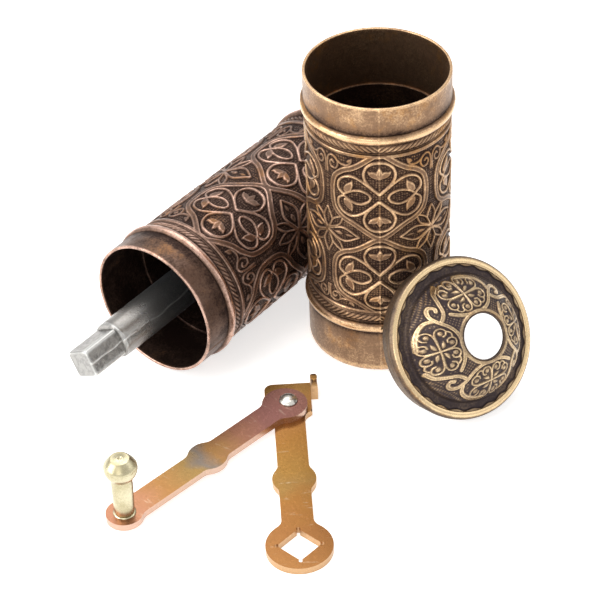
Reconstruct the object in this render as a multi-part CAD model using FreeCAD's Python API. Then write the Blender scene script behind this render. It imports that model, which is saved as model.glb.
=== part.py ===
import FreeCAD, Part
import math
import os
from FreeCAD import Placement, Rotation, Vector

# Turkish coffee grinder laid out as four groups: a standing catch cup, the hopper with its
# mill lying beside it, the dome lid leaning on the cup and the folding crank on the floor.
# Millimetres. The origin is the centre of the cup's base, +Z is up, and -Y faces the viewer.

# Driving sizes of the two cast vessels
CUP_HEIGHT = 111.1
HOPPER_HEIGHT = 120.3
NECK_RADIUS = 25.0
BEAD_RADIUS = 26.15
BEAD_HEIGHT = 3.4
FIELD_RADIUS = 24.9
ROPE_GROOVE_RADIUS = 24.3
ROPE_GROOVE_HEIGHT = 4.6
FOOT_HEIGHT = 18.5
FOOT_ROUND = 3.0
NECK_HEIGHT = 10.7
MOUTH_WALL = 1.05
MOUTH_DEPTH = 22.0
LEDGE_STEP = 0.75
CUP_FLOOR = 2.4

# Driving sizes of the mill inside the hopper
SHAFT_DIAMETER = 14.0
SHAFT_PROTRUSION = 37.0
SQUARE_ACROSS_FLATS = 10.0
SQUARE_LENGTH = 17.0
SQUARE_RUNOUT = 2.0
JOURNAL_DIAMETER = 10.0
JOURNAL_DROP = 2.6
TIP_CHAMFER = 0.9
GUIDE_HEIGHT_IN_HOPPER = 44.0
GUIDE_SEAT_STEP = 0.8
GUIDE_RING_HEIGHT = 5.0
GUIDE_RING_WALL = 1.6
GUIDE_HUB_RADIUS = 10.0
GUIDE_HUB_HEIGHT = 8.0
GUIDE_ARM_WIDTH = 4.0
GUIDE_ARM_COUNT = 3
SLEEVE_RADIUS = 23.6
SLEEVE_SEAT_STEP = 0.5
SLEEVE_WALL = 1.7
SLEEVE_SEAT_DEPTH = 18.0
SPIGOT_LENGTH = 20.0
LEDGE_WIDTH = 2.4
LEDGE_HEIGHT = 2.0
LUG_HEIGHT = 6.0
LUG_WIDTH = 9.0
LUG_REACH = 5.0
BURR_RING_HEIGHT = 16.0
THROAT_RADIUS = 15.0
THROAT_LEVEL = 8.0
BURR_RING_LIP = 1.4
OUTER_TOOTH_COUNT = 24
INNER_TOOTH_COUNT = 18
TOOTH_DEPTH = 0.9
GRIND_RADIUS = 17.6
GRIND_GAP = 0.6
TOOTH_TWIST = 12.0
BURR_CROWN_RADIUS = 9.6
BURR_WAIST_RADIUS = 11.8
BURR_CROWN_HEIGHT = 17.0
BREAKER_COUNT = 6
BREAKER_WIDTH = 2.2
BREAKER_DEPTH = 2.2
BREAKER_PEAK_SHARE = 0.45
BURR_PIN_DIAMETER = 2.5
BURR_PIN_LEVEL = 4.0
WASHER_THICKNESS = 1.0
SPRING_WIRE = 1.3
SPRING_TURNS = 5
BRIDGE_WIDTH = 10.0
BRIDGE_THICKNESS = 3.0
BRIDGE_SCREW_DIAMETER = 3.0
BRIDGE_SCREW_HEAD = 5.2
BRIDGE_SCREW_HEAD_HEIGHT = 1.8
ADJUSTER_DIAMETER = 6.0
LOCK_NUT_ACROSS_FLATS = 10.0
LOCK_NUT_HEIGHT = 2.7
THUMB_WHEEL_RADIUS = 7.0
THUMB_WHEEL_HEIGHT = 3.6
THUMB_WHEEL_SCALLOPS = 10
THUMB_WHEEL_SCALLOP_RADIUS = 0.9
BALL_RADIUS = 2.0
BALL_SEAT_DEPTH = 0.6
GAP_TRAVEL = 1.2

# Driving sizes of the dome lid, in its own frame with the rim's widest circle at zero height
LID_RIM_RADIUS = 27.9
LID_RIM_WIDTH = 2.3
LID_RIM_RISE = 1.9
LID_BAND_LEVEL = 1.5
LID_MOAT_OUTER = 23.6
LID_MOAT_LEVEL = 1.0
LID_DOME_RADIUS = 23.5
LID_DOME_CENTRE = -6.05
LID_DOME_FOOT = 21.6
LID_HOLE_RADIUS = 7.75
LID_COLLAR_WIDTH = 1.7
LID_COLLAR_RISE = 0.5
LID_WALL = 1.3
LID_SKIRT_DEPTH = 7.0
LID_SKIRT_WALL = 0.95

# Driving sizes of the folding crank
ARM_THICKNESS = 2.5
INNER_ARM_LENGTH = 68.5
INNER_ARM_WIDTH = 10.6
INNER_BULGE_RADIUS = 7.4
INNER_BULGE_AT = 36.8
EYE_RADIUS = 11.1
SQUARE_CORNER_RELIEF = 0.75
HEAD_WIDTH = 16.0
HEAD_BACK = 11.8
HEAD_FRONT = 3.0
STOP_TAB_LENGTH = 6.2
STOP_TAB_RISE = 5.2
OUTER_ARM_LENGTH = 76.0
OUTER_ARM_WIDTH = 9.4
OUTER_BULGE_RADIUS = 6.8
OUTER_BULGE_AT = 38.5
OUTER_HEAD_RADIUS = 7.8
OUTER_HEAD_OFFSET = 1.8
OUTER_END_RADIUS = 6.3
NECK_ROUND = 4.0
RIVET_DIAMETER = 4.0
RIVET_HEAD_RADIUS = 3.2
RIVET_HEAD_HEIGHT = 1.6
COUNTERSINK_DEPTH = 1.0
COUNTERSINK_RADIUS = 3.0
KNOB_STEM_RADIUS = 3.4
KNOB_STEM_TOP_RADIUS = 3.6
KNOB_COLLAR_RADIUS = 4.0
KNOB_COLLAR_HEIGHT = 1.0
KNOB_COLLAR_CHAMFER = 0.3
KNOB_STEM_HEIGHT = 15.4
KNOB_HEAD_RADIUS = 5.65
KNOB_HEAD_HEIGHT = 8.3
KNOB_UNDER_SHARE = 0.87
KNOB_CROWN_SHARE = 0.8
KNOB_ROUND_HEIGHT = 1.4
KNOB_DIMPLE_RADIUS = 0.7

# Flat steps in rounded forms
LEAST_CHORDS = 3
CHORD_LENGTH = 3.5
SPRING_STEPS = 12
SPRING_SIDES = 8

# Clearances
RUNNING_CLEARANCE = 0.06
PRESS_CLEARANCE = 0.03
SQUARE_CLEARANCE = 0.2
LID_CLEARANCE = 0.35
LAYOUT_GAP = 0.3
WHEEL_CLEARANCE = 0.4

# How the groups lie
HOPPER_HEADING = 51.1
HOPPER_MOUTH_LEAD = 63.2
SQUARE_ROLL = 28.6
LID_HEADING = -56.0
LID_TILT = 35.0
CRANK_PIVOT_X = -33.4
CRANK_PIVOT_Y = -43.8
INNER_ARM_HEADING = -88.1
OUTER_ARM_HEADING = -135.8

# Sizes that follow
MOUTH_RADIUS = NECK_RADIUS - MOUTH_WALL
CHAMBER_RADIUS = MOUTH_RADIUS - LEDGE_STEP
SHAFT_RADIUS = SHAFT_DIAMETER / 2
JOURNAL_RADIUS = JOURNAL_DIAMETER / 2
GUIDE_SEAT_RADIUS = CHAMBER_RADIUS - GUIDE_SEAT_STEP
SLEEVE_SEAT_RADIUS = SLEEVE_RADIUS + SLEEVE_SEAT_STEP
SLEEVE_BORE = SLEEVE_RADIUS - SLEEVE_WALL
LEDGE_RADIUS = SLEEVE_BORE - LEDGE_WIDTH
BRIDGE_TOP = -LEDGE_HEIGHT - LUG_HEIGHT
BRIDGE_BOTTOM = BRIDGE_TOP - BRIDGE_THICKNESS
BALL_LEVEL = -JOURNAL_DROP - BALL_RADIUS + BALL_SEAT_DEPTH
WASHER_TOP = BURR_CROWN_HEIGHT + WASHER_THICKNESS
SHAFT_TOP = HOPPER_HEIGHT + SHAFT_PROTRUSION
LID_HOLE_PLANE = LID_DOME_CENTRE + math.sqrt(
    LID_DOME_RADIUS ** 2 - (LID_HOLE_RADIUS + LID_COLLAR_WIDTH) ** 2)
LID_SKIRT_BORE = NECK_RADIUS + LID_CLEARANCE
LID_SKIRT_RADIUS = LID_SKIRT_BORE + LID_SKIRT_WALL
UP = Vector(0, 0, 1)


def polar(radius, degrees, height=0.0):
    """The point at a radius and a bearing about Z."""
    turn = math.radians(degrees)
    return Vector(radius * math.cos(turn), radius * math.sin(turn), height)


def profile_point(pair):
    """A (radius, height) pair as a point of the XZ plane."""
    return Vector(pair[0], 0, pair[1])


def arc_points(start, through, end):
    """The points of an arc after its start, at equal chords, so that turned rounds stay light."""
    arc = Part.Arc(profile_point(start), profile_point(through), profile_point(end)).toShape()
    chords = max(LEAST_CHORDS, round(arc.Length / CHORD_LENGTH))
    return arc.discretize(Number=chords + 1)[1:]


def profile_face(start, *steps):
    """The face inside a closed XZ profile. A step is an end point, or (through, end) for an arc."""
    points = [profile_point(start)]
    here = start
    for step in steps:
        if isinstance(step[0], tuple):
            through, end = step
            points += arc_points(here, through, end)
        else:
            end = step
            points.append(profile_point(end))
        here = end
    return Part.Face(polygon_wire(points))


def revolved(start, *steps):
    """The solid swept by a profile once round Z."""
    solid = profile_face(start, *steps).revolve(Vector(), UP, 360)
    if solid.Volume < 0:
        solid.reverse()
    return solid


def cylinder(radius, low, high, centre=Vector()):
    """An upright cylinder between two heights."""
    return Part.makeCylinder(radius, high - low, centre + Vector(0, 0, low), UP)


def block(x_size, y_size, low, high, centre=Vector()):
    """A box centred in X and Y between two heights."""
    corner = centre + Vector(-x_size / 2, -y_size / 2, low)
    return Part.makeBox(x_size, y_size, high - low, corner)


def around(shape, count, start=0.0):
    """Copies of a shape at equal steps about Z."""
    copies = []
    for index in range(count):
        copy = shape.copy()
        copy.rotate(Vector(), UP, start + 360.0 * index / count)
        copies.append(copy)
    return copies


def polygon_wire(points):
    """A closed wire through points."""
    return Part.makePolygon(points + [points[0]])


# The vessels
def vessel_outside(height):
    """The profile steps up a vessel's outside, from its base's edge to its mouth."""
    low_bead = FOOT_HEIGHT
    low_groove = low_bead + BEAD_HEIGHT
    low_field = low_groove + ROPE_GROOVE_HEIGHT
    top_bead = height - NECK_HEIGHT
    top_groove = top_bead - BEAD_HEIGHT
    top_field = top_groove - ROPE_GROOVE_HEIGHT
    round_mid = FOOT_ROUND * (1 - math.sqrt(0.5))
    return [
        ((NECK_RADIUS - round_mid, round_mid), (NECK_RADIUS, FOOT_ROUND)),
        (NECK_RADIUS, low_bead),
        ((BEAD_RADIUS, low_bead + BEAD_HEIGHT / 2), (ROPE_GROOVE_RADIUS, low_groove)),
        (ROPE_GROOVE_RADIUS, low_field),
        (FIELD_RADIUS, low_field),
        (FIELD_RADIUS, top_field),
        (ROPE_GROOVE_RADIUS, top_field),
        (ROPE_GROOVE_RADIUS, top_groove),
        ((BEAD_RADIUS, top_bead - BEAD_HEIGHT / 2), (NECK_RADIUS, top_bead)),
        (NECK_RADIUS, height),
    ]


def catch_cup():
    """The lower vessel: a cast cup whose mouth is stepped to take the mill's spigot."""
    inside = [
        (MOUTH_RADIUS, CUP_HEIGHT),
        (MOUTH_RADIUS, CUP_HEIGHT - MOUTH_DEPTH),
        (CHAMBER_RADIUS, CUP_HEIGHT - MOUTH_DEPTH),
        (CHAMBER_RADIUS, CUP_FLOOR),
        (0, CUP_FLOOR),
    ]
    steps = [(NECK_RADIUS - FOOT_ROUND, 0)] + vessel_outside(CUP_HEIGHT) + inside
    return revolved((0, 0), *steps)


def hopper_body():
    """The upper vessel: open at both ends, with seats for the shaft guide and the mill sleeve."""
    foot_bore = SLEEVE_SEAT_RADIUS + PRESS_CLEARANCE
    inside = [
        (MOUTH_RADIUS, HOPPER_HEIGHT),
        (MOUTH_RADIUS, HOPPER_HEIGHT - MOUTH_DEPTH),
        (CHAMBER_RADIUS, HOPPER_HEIGHT - MOUTH_DEPTH),
        (CHAMBER_RADIUS, GUIDE_HEIGHT_IN_HOPPER),
        (GUIDE_SEAT_RADIUS, GUIDE_HEIGHT_IN_HOPPER),
        (GUIDE_SEAT_RADIUS, SLEEVE_SEAT_DEPTH),
        (foot_bore, SLEEVE_SEAT_DEPTH),
    ]
    rim_round = (NECK_RADIUS - foot_bore) / 2
    outside = vessel_outside(HOPPER_HEIGHT)
    outside[0] = (NECK_RADIUS, rim_round)
    steps = [(NECK_RADIUS - rim_round, 0)] + outside + inside
    return revolved((foot_bore, 0), *steps)


# The mill
def mill_sleeve():
    """The spigot tube that drops into the cup, with the burr's ledge and two bridge lugs."""
    tube = cylinder(SLEEVE_RADIUS, -SPIGOT_LENGTH, 0)
    tube = tube.fuse(cylinder(SLEEVE_SEAT_RADIUS, 0, SLEEVE_SEAT_DEPTH))
    tube = tube.cut(cylinder(SLEEVE_BORE, -SPIGOT_LENGTH, -LEDGE_HEIGHT))
    tube = tube.cut(cylinder(LEDGE_RADIUS, -LEDGE_HEIGHT, 0))
    tube = tube.cut(cylinder(SLEEVE_BORE, 0, SLEEVE_SEAT_DEPTH))
    lug = block(LUG_REACH, LUG_WIDTH, BRIDGE_TOP, -LEDGE_HEIGHT, lug_centre())
    inside = cylinder(SLEEVE_BORE + SLEEVE_WALL / 2, BRIDGE_TOP, -LEDGE_HEIGHT)
    for copy in around(lug, 2):
        tube = tube.fuse(copy.common(inside))
    hole = cylinder(screw_hole_radius(), BRIDGE_TOP, -LEDGE_HEIGHT, lug_screw_point())
    for copy in around(hole, 2):
        tube = tube.cut(copy)
    return tube.removeSplitter()


def lug_centre():
    """The middle of a lug, whose outer end reaches into the sleeve's wall."""
    return Vector(SLEEVE_BORE + SLEEVE_WALL / 2 - LUG_REACH / 2, 0, 0)


def lug_screw_point():
    """The axis of a bridge screw."""
    return Vector(SLEEVE_BORE - LUG_REACH / 2, 0, 0)


def screw_hole_radius():
    """The hole that a bridge screw sits in."""
    return BRIDGE_SCREW_DIAMETER / 2 + PRESS_CLEARANCE


def toothed_wire(root, tip, count, height, twist=0.0):
    """A closed zigzag of triangular teeth between two radii, turned by a twist."""
    points = []
    for index in range(count):
        bearing = twist + 360.0 * index / count
        points.append(polar(root, bearing, height))
        points.append(polar(tip, bearing + 180.0 / count, height))
    return polygon_wire(points)


def outer_burr():
    """The fixed burr ring: a funnel at the top, and below it a toothed bore that widens down."""
    ring = cylinder(SLEEVE_BORE - PRESS_CLEARANCE, 0, BURR_RING_HEIGHT)
    funnel_top = SLEEVE_BORE - PRESS_CLEARANCE - BURR_RING_LIP
    funnel = Part.makeCone(THROAT_RADIUS, funnel_top, BURR_RING_HEIGHT - THROAT_LEVEL,
                           Vector(0, 0, THROAT_LEVEL), UP)
    low = toothed_wire(GRIND_RADIUS + TOOTH_DEPTH, GRIND_RADIUS, OUTER_TOOTH_COUNT, 0)
    high = toothed_wire(THROAT_RADIUS + TOOTH_DEPTH, THROAT_RADIUS, OUTER_TOOTH_COUNT,
                        THROAT_LEVEL, -TOOTH_TWIST)
    return ring.cut(funnel).cut(Part.makeLoft([low, high], True, True))


def inner_burr():
    """The turning burr: a toothed skirt that widens down under a crown with bean breakers."""
    tip = GRIND_RADIUS - GRIND_GAP
    low = toothed_wire(tip - TOOTH_DEPTH, tip, INNER_TOOTH_COUNT, 0)
    high = toothed_wire(BURR_WAIST_RADIUS - TOOTH_DEPTH, BURR_WAIST_RADIUS, INNER_TOOTH_COUNT,
                        THROAT_LEVEL, TOOTH_TWIST)
    skirt = Part.makeLoft([low, high], True, True)
    crown_height = BURR_CROWN_HEIGHT - THROAT_LEVEL
    crown = Part.makeCone(BURR_WAIST_RADIUS - TOOTH_DEPTH, BURR_CROWN_RADIUS, crown_height,
                          Vector(0, 0, THROAT_LEVEL), UP)
    burr = skirt.fuse(crown)
    blade_level = THROAT_LEVEL + crown_height * BREAKER_PEAK_SHARE
    blade_root = BURR_CROWN_RADIUS - BREAKER_DEPTH
    blade = Part.Face(polygon_wire([
        Vector(blade_root, -BREAKER_WIDTH / 2, THROAT_LEVEL),
        Vector(BURR_WAIST_RADIUS - TOOTH_DEPTH, -BREAKER_WIDTH / 2, THROAT_LEVEL),
        Vector(BURR_CROWN_RADIUS + BREAKER_DEPTH, -BREAKER_WIDTH / 2, blade_level),
        Vector(BURR_CROWN_RADIUS, -BREAKER_WIDTH / 2, BURR_CROWN_HEIGHT),
        Vector(blade_root, -BREAKER_WIDTH / 2, BURR_CROWN_HEIGHT)]))
    for copy in around(blade.extrude(Vector(0, BREAKER_WIDTH, 0)), BREAKER_COUNT):
        burr = burr.fuse(copy)
    burr = burr.cut(cylinder(JOURNAL_RADIUS + PRESS_CLEARANCE, 0, BURR_CROWN_HEIGHT))
    return burr.cut(burr_pin_shape(BURR_PIN_DIAMETER / 2 + PRESS_CLEARANCE)).removeSplitter()


def burr_pin_shape(radius):
    """A cross pin's cylinder through the burr and the shaft."""
    half = BURR_WAIST_RADIUS
    return Part.makeCylinder(radius, 2 * half, Vector(-half, 0, BURR_PIN_LEVEL), Vector(1, 0, 0))


def burr_pin():
    """The cross pin that makes the burr turn with the shaft."""
    return burr_pin_shape(BURR_PIN_DIAMETER / 2)


def drive_shaft():
    """The cast shaft: a journal for the burr, a long round and a square top for the crank."""
    square_low = SHAFT_TOP - SQUARE_LENGTH
    shaft = cylinder(JOURNAL_RADIUS, -JOURNAL_DROP, BURR_CROWN_HEIGHT)
    shaft = shaft.fuse(cylinder(SHAFT_RADIUS, BURR_CROWN_HEIGHT, SHAFT_TOP))
    stock = cylinder(SHAFT_RADIUS * 2, square_low, SHAFT_TOP)
    half = SQUARE_ACROSS_FLATS / 2
    spread = half + SQUARE_RUNOUT
    low = polygon_wire([Vector(x, y, square_low) for x, y in square_corners(spread)])
    high = polygon_wire([Vector(x, y, square_low + SQUARE_RUNOUT) for x, y in square_corners(half)])
    square = Part.makeLoft([low, high], True, True)
    square = square.fuse(block(SQUARE_ACROSS_FLATS, SQUARE_ACROSS_FLATS,
                               square_low + SQUARE_RUNOUT, SHAFT_TOP))
    square.rotate(Vector(), UP, SQUARE_ROLL)
    shaft = shaft.cut(stock.cut(square))
    tip_low = SHAFT_TOP - TIP_CHAMFER
    tip_cone = Part.makeCone(SHAFT_RADIUS, SHAFT_RADIUS - TIP_CHAMFER, TIP_CHAMFER,
                             Vector(0, 0, tip_low), UP)
    tip_stock = cylinder(SHAFT_RADIUS * 2, tip_low, SHAFT_TOP)
    shaft = shaft.cut(tip_stock.cut(tip_cone))
    shaft = shaft.cut(ball_seat())
    return shaft.cut(burr_pin_shape(BURR_PIN_DIAMETER / 2 + PRESS_CLEARANCE)).removeSplitter()


def square_corners(half):
    """The four corners of a square of a given half side."""
    return [(-half, -half), (half, -half), (half, half), (-half, half)]


def shaft_guide():
    """The spider that keeps the shaft upright: a ring, a hub and radial arms."""
    low = GUIDE_HEIGHT_IN_HOPPER
    outer = CHAMBER_RADIUS - PRESS_CLEARANCE
    ring = cylinder(outer, low, low + GUIDE_RING_HEIGHT)
    ring = ring.cut(cylinder(outer - GUIDE_RING_WALL, low, low + GUIDE_RING_HEIGHT))
    hub = cylinder(GUIDE_HUB_RADIUS, low, low + GUIDE_HUB_HEIGHT)
    reach = outer - GUIDE_RING_WALL / 2
    arm = block(reach, GUIDE_ARM_WIDTH, low, low + GUIDE_RING_HEIGHT, Vector(reach / 2, 0, 0))
    guide = ring.fuse(hub)
    for copy in around(arm, GUIDE_ARM_COUNT):
        guide = guide.fuse(copy)
    bore = cylinder(SHAFT_RADIUS + RUNNING_CLEARANCE, low, low + GUIDE_HUB_HEIGHT)
    return guide.cut(bore).removeSplitter()


def spring_washer():
    """The flat washer between the spring and the burr's crown."""
    disc = cylinder(BURR_CROWN_RADIUS, BURR_CROWN_HEIGHT, WASHER_TOP)
    return disc.cut(cylinder(SHAFT_RADIUS + PRESS_CLEARANCE, BURR_CROWN_HEIGHT, WASHER_TOP))


def burr_spring():
    """The coil that presses the burr down on the adjuster, lofted through sections of its wire."""
    wire_radius = SPRING_WIRE / 2
    coil_radius = (SHAFT_RADIUS + BURR_CROWN_RADIUS) / 2
    low = WASHER_TOP + RUNNING_CLEARANCE + wire_radius
    high = GUIDE_HEIGHT_IN_HOPPER - GAP_TRAVEL - LAYOUT_GAP - wire_radius
    rise = (high - low) / SPRING_TURNS
    sections = []
    for step in range(SPRING_TURNS * SPRING_STEPS + 1):
        turn = 360.0 * step / SPRING_STEPS
        corners = []
        for corner in range(SPRING_SIDES):
            around_wire = math.radians(360.0 * corner / SPRING_SIDES)
            radius = coil_radius + wire_radius * math.cos(around_wire)
            height = low + rise * turn / 360.0 + wire_radius * math.sin(around_wire)
            corners.append(polar(radius, turn, height))
        sections.append(polygon_wire(corners))
    coil = Part.makeLoft(sections, True, True)
    print("spring: least gap between turns", round(rise - SPRING_WIRE, 2))
    return coil


def bridge_bar():
    """The flat bar across the sleeve that carries the adjuster."""
    length = 2 * (SLEEVE_BORE - WHEEL_CLEARANCE)
    bar = block(length, BRIDGE_WIDTH, BRIDGE_BOTTOM, BRIDGE_TOP)
    bar = bar.common(cylinder(SLEEVE_BORE - WHEEL_CLEARANCE, BRIDGE_BOTTOM, BRIDGE_TOP))
    bar = bar.cut(cylinder(ADJUSTER_DIAMETER / 2 + RUNNING_CLEARANCE, BRIDGE_BOTTOM, BRIDGE_TOP))
    hole = cylinder(screw_hole_radius(), BRIDGE_BOTTOM, BRIDGE_TOP, lug_screw_point())
    for copy in around(hole, 2):
        bar = bar.cut(copy)
    return bar


def bridge_screws():
    """The two screws that hold the bridge to the sleeve's lugs."""
    shank = cylinder(BRIDGE_SCREW_DIAMETER / 2, BRIDGE_BOTTOM, -LEDGE_HEIGHT, lug_screw_point())
    head_low = BRIDGE_BOTTOM - BRIDGE_SCREW_HEAD_HEIGHT
    head = cylinder(BRIDGE_SCREW_HEAD / 2, head_low, BRIDGE_BOTTOM, lug_screw_point())
    head = head.common(cylinder(SLEEVE_BORE - PRESS_CLEARANCE, head_low, BRIDGE_BOTTOM))
    return Part.Compound(around(shank.fuse(head).removeSplitter(), 2))


def wheel_levels():
    """The heights of the thumb wheel, just inside the spigot's end."""
    low = -SPIGOT_LENGTH + WHEEL_CLEARANCE
    return low, low + THUMB_WHEEL_HEIGHT


def adjusting_screw():
    """The adjuster: a threaded rod with a scalloped thumb wheel and a cupped tip."""
    low, high = wheel_levels()
    wheel = cylinder(THUMB_WHEEL_RADIUS, low, high)
    scallop = cylinder(THUMB_WHEEL_SCALLOP_RADIUS, low, high, Vector(THUMB_WHEEL_RADIUS, 0, 0))
    for copy in around(scallop, THUMB_WHEEL_SCALLOPS):
        wheel = wheel.cut(copy)
    rod = cylinder(ADJUSTER_DIAMETER / 2, low, BALL_LEVEL - BALL_RADIUS + BALL_SEAT_DEPTH)
    return wheel.fuse(rod).cut(ball_seat()).removeSplitter()


def lock_nut():
    """The thin nut that is tightened on the adjuster against the bridge."""
    corner = LOCK_NUT_ACROSS_FLATS / math.sqrt(3)
    high = BRIDGE_BOTTOM
    wire = polygon_wire([polar(corner, 60.0 * index, high) for index in range(6)])
    nut = Part.Face(wire).extrude(Vector(0, 0, -LOCK_NUT_HEIGHT))
    bore = cylinder(ADJUSTER_DIAMETER / 2 + RUNNING_CLEARANCE, high - LOCK_NUT_HEIGHT, high)
    return nut.cut(bore)


def ball_seat():
    """The round hollow that holds the ball in the shaft's end and in the adjuster's tip."""
    return ball(BALL_RADIUS + RUNNING_CLEARANCE)


def ball(radius):
    """A ball at the thrust ball's place."""
    shoulder = radius * math.sqrt(0.5)
    low, middle, high = BALL_LEVEL - radius, BALL_LEVEL, BALL_LEVEL + radius
    return revolved(
        (0, low),
        ((shoulder, middle - shoulder), (radius, middle)),
        ((shoulder, middle + shoulder), (0, high)),
    )


def thrust_ball():
    """The hardened ball between the adjuster and the shaft."""
    return ball(BALL_RADIUS)


# The lid
def dome_lid():
    """The cast lid: a skirt over the hopper's neck, a rolled rim, a moat and a holed dome."""
    collar_radius = LID_HOLE_RADIUS + LID_COLLAR_WIDTH
    collar_top = LID_HOLE_PLANE + LID_COLLAR_RISE
    rim_inner = LID_RIM_RADIUS - LID_RIM_WIDTH
    inner_dome = LID_DOME_RADIUS - LID_WALL

    hollow_foot = inner_dome - LID_WALL
    moat_mid = ((LID_MOAT_OUTER + LID_DOME_FOOT) / 2, LID_MOAT_LEVEL)
    crown_mid = dome_point((collar_radius + LID_DOME_FOOT) / 2, LID_DOME_RADIUS)
    hollow_mid = dome_point((LID_HOLE_RADIUS + hollow_foot) / 2, inner_dome)
    return revolved(
        (LID_SKIRT_BORE, -LID_SKIRT_DEPTH),
        (LID_SKIRT_RADIUS, -LID_SKIRT_DEPTH),
        (LID_SKIRT_RADIUS, -LID_RIM_RISE),
        ((LID_RIM_RADIUS, 0), (rim_inner + LID_RIM_WIDTH / 2, LID_RIM_RISE)),
        (rim_inner, LID_BAND_LEVEL),
        (LID_MOAT_OUTER, LID_BAND_LEVEL),
        (moat_mid, dome_point(LID_DOME_FOOT, LID_DOME_RADIUS)),
        (crown_mid, (collar_radius, LID_HOLE_PLANE)),
        (collar_radius - LID_COLLAR_RISE, collar_top),
        (LID_HOLE_RADIUS, collar_top),
        dome_point(LID_HOLE_RADIUS, inner_dome),
        (hollow_mid, dome_point(hollow_foot, inner_dome)),
        (hollow_foot, LID_MOAT_LEVEL - LID_WALL),
        (LID_SKIRT_BORE, LID_MOAT_LEVEL - LID_WALL),
    )


def dome_point(radius, sphere):
    """The profile point at a radius on one of the dome's two spheres."""
    return radius, LID_DOME_CENTRE + math.sqrt(sphere ** 2 - radius ** 2)


# The crank
def strip(width, start, end):
    """A flat bar along X, centred on it."""
    return block(end - start, width, 0, ARM_THICKNESS, Vector((start + end) / 2, 0, 0))


def disc(radius, along=0.0):
    """A flat disc on the X axis."""
    return cylinder(radius, 0, ARM_THICKNESS, Vector(along, 0, 0))


def stamped_plate(pieces, low):
    """Bars and discs joined as one plate, with the inner corners rounded as a punch leaves them."""
    joined = pieces[0].fuse(pieces[1:]).removeSplitter()
    undersides = [face for face in joined.Faces if face.BoundBox.ZMax < ARM_THICKNESS / 2]
    outline = max(undersides, key=lambda face: face.Area)
    rounded = outline.makeOffset2D(NECK_ROUND).makeOffset2D(-NECK_ROUND)
    solid = Part.Face(rounded.Wires[0]).extrude(Vector(0, 0, ARM_THICKNESS))
    solid.translate(Vector(0, 0, low))
    return solid


def square_hole():
    """The crank's driving hole: a square on its corner, with a round relief at each corner."""
    side = SQUARE_ACROSS_FLATS + 2 * SQUARE_CLEARANCE
    hole = block(side, side, 0, ARM_THICKNESS)
    for x, y in square_corners(side / 2):
        hole = hole.fuse(cylinder(SQUARE_CORNER_RELIEF, 0, ARM_THICKNESS, Vector(x, y, 0)))
    hole.rotate(Vector(), UP, 45)
    hole.translate(Vector(INNER_ARM_LENGTH, 0, 0))
    return hole


def countersink(low, clearance=0.0):
    """The cone of a flush riveted end, in the bottom of a plate, with an all-round clearance."""
    wide = COUNTERSINK_RADIUS + clearance
    narrow = RIVET_DIAMETER / 2 + clearance
    return Part.makeCone(wide, narrow, COUNTERSINK_DEPTH, Vector(0, 0, low), UP)


def inner_arm():
    """The arm with the square eye, whose head carries the upturned stop tab."""
    arm = stamped_plate([
        strip(HEAD_WIDTH, -HEAD_BACK, HEAD_FRONT),
        strip(INNER_ARM_WIDTH, 0, INNER_ARM_LENGTH),
        disc(INNER_BULGE_RADIUS, INNER_BULGE_AT),
        disc(EYE_RADIUS, INNER_ARM_LENGTH),
    ], 0)
    tab_inside = HEAD_WIDTH / 2
    tab_centre = Vector(STOP_TAB_LENGTH / 2 - HEAD_BACK, tab_inside + ARM_THICKNESS / 2, 0)
    tab = block(STOP_TAB_LENGTH, ARM_THICKNESS, 0, ARM_THICKNESS + STOP_TAB_RISE, tab_centre)
    arm = arm.fuse(tab).cut(square_hole())
    arm = arm.cut(cylinder(RIVET_DIAMETER / 2 + PRESS_CLEARANCE, 0, ARM_THICKNESS))
    return arm.cut(countersink(0, PRESS_CLEARANCE)).removeSplitter()


def outer_arm():
    """The arm that folds over the first and carries the knob."""
    arm = stamped_plate([
        disc(OUTER_HEAD_RADIUS, OUTER_HEAD_OFFSET),
        strip(OUTER_ARM_WIDTH, 0, OUTER_ARM_LENGTH),
        disc(OUTER_BULGE_RADIUS, OUTER_BULGE_AT),
        disc(OUTER_END_RADIUS, OUTER_ARM_LENGTH),
    ], ARM_THICKNESS)
    top = 2 * ARM_THICKNESS
    arm = arm.cut(cylinder(RIVET_DIAMETER / 2 + RUNNING_CLEARANCE, ARM_THICKNESS, top))
    knob_at = Vector(OUTER_ARM_LENGTH, 0, 0)
    arm = arm.cut(cylinder(RIVET_DIAMETER / 2 + RUNNING_CLEARANCE, ARM_THICKNESS, top, knob_at))
    sink = countersink(ARM_THICKNESS, 2 * RUNNING_CLEARANCE)
    sink.translate(knob_at)
    return arm.cut(sink).removeSplitter()


def pivot_rivet():
    """The rivet that joins the arms: domed above, countersunk flush below."""
    top = 2 * ARM_THICKNESS + RUNNING_CLEARANCE
    shank = RIVET_DIAMETER / 2
    dome_radius = (RIVET_HEAD_RADIUS ** 2 + RIVET_HEAD_HEIGHT ** 2) / (2 * RIVET_HEAD_HEIGHT)
    dome_low = top + RIVET_HEAD_HEIGHT - dome_radius
    half_angle = math.asin(RIVET_HEAD_RADIUS / dome_radius) / 2
    dome_mid = (dome_radius * math.sin(half_angle), dome_low + dome_radius * math.cos(half_angle))
    rivet = revolved(
        (0, 0),
        (shank, 0),
        (shank, top),
        (RIVET_HEAD_RADIUS, top),
        (dome_mid, (0, top + RIVET_HEAD_HEIGHT)),
    )
    return rivet.fuse(countersink(0)).removeSplitter()


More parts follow.
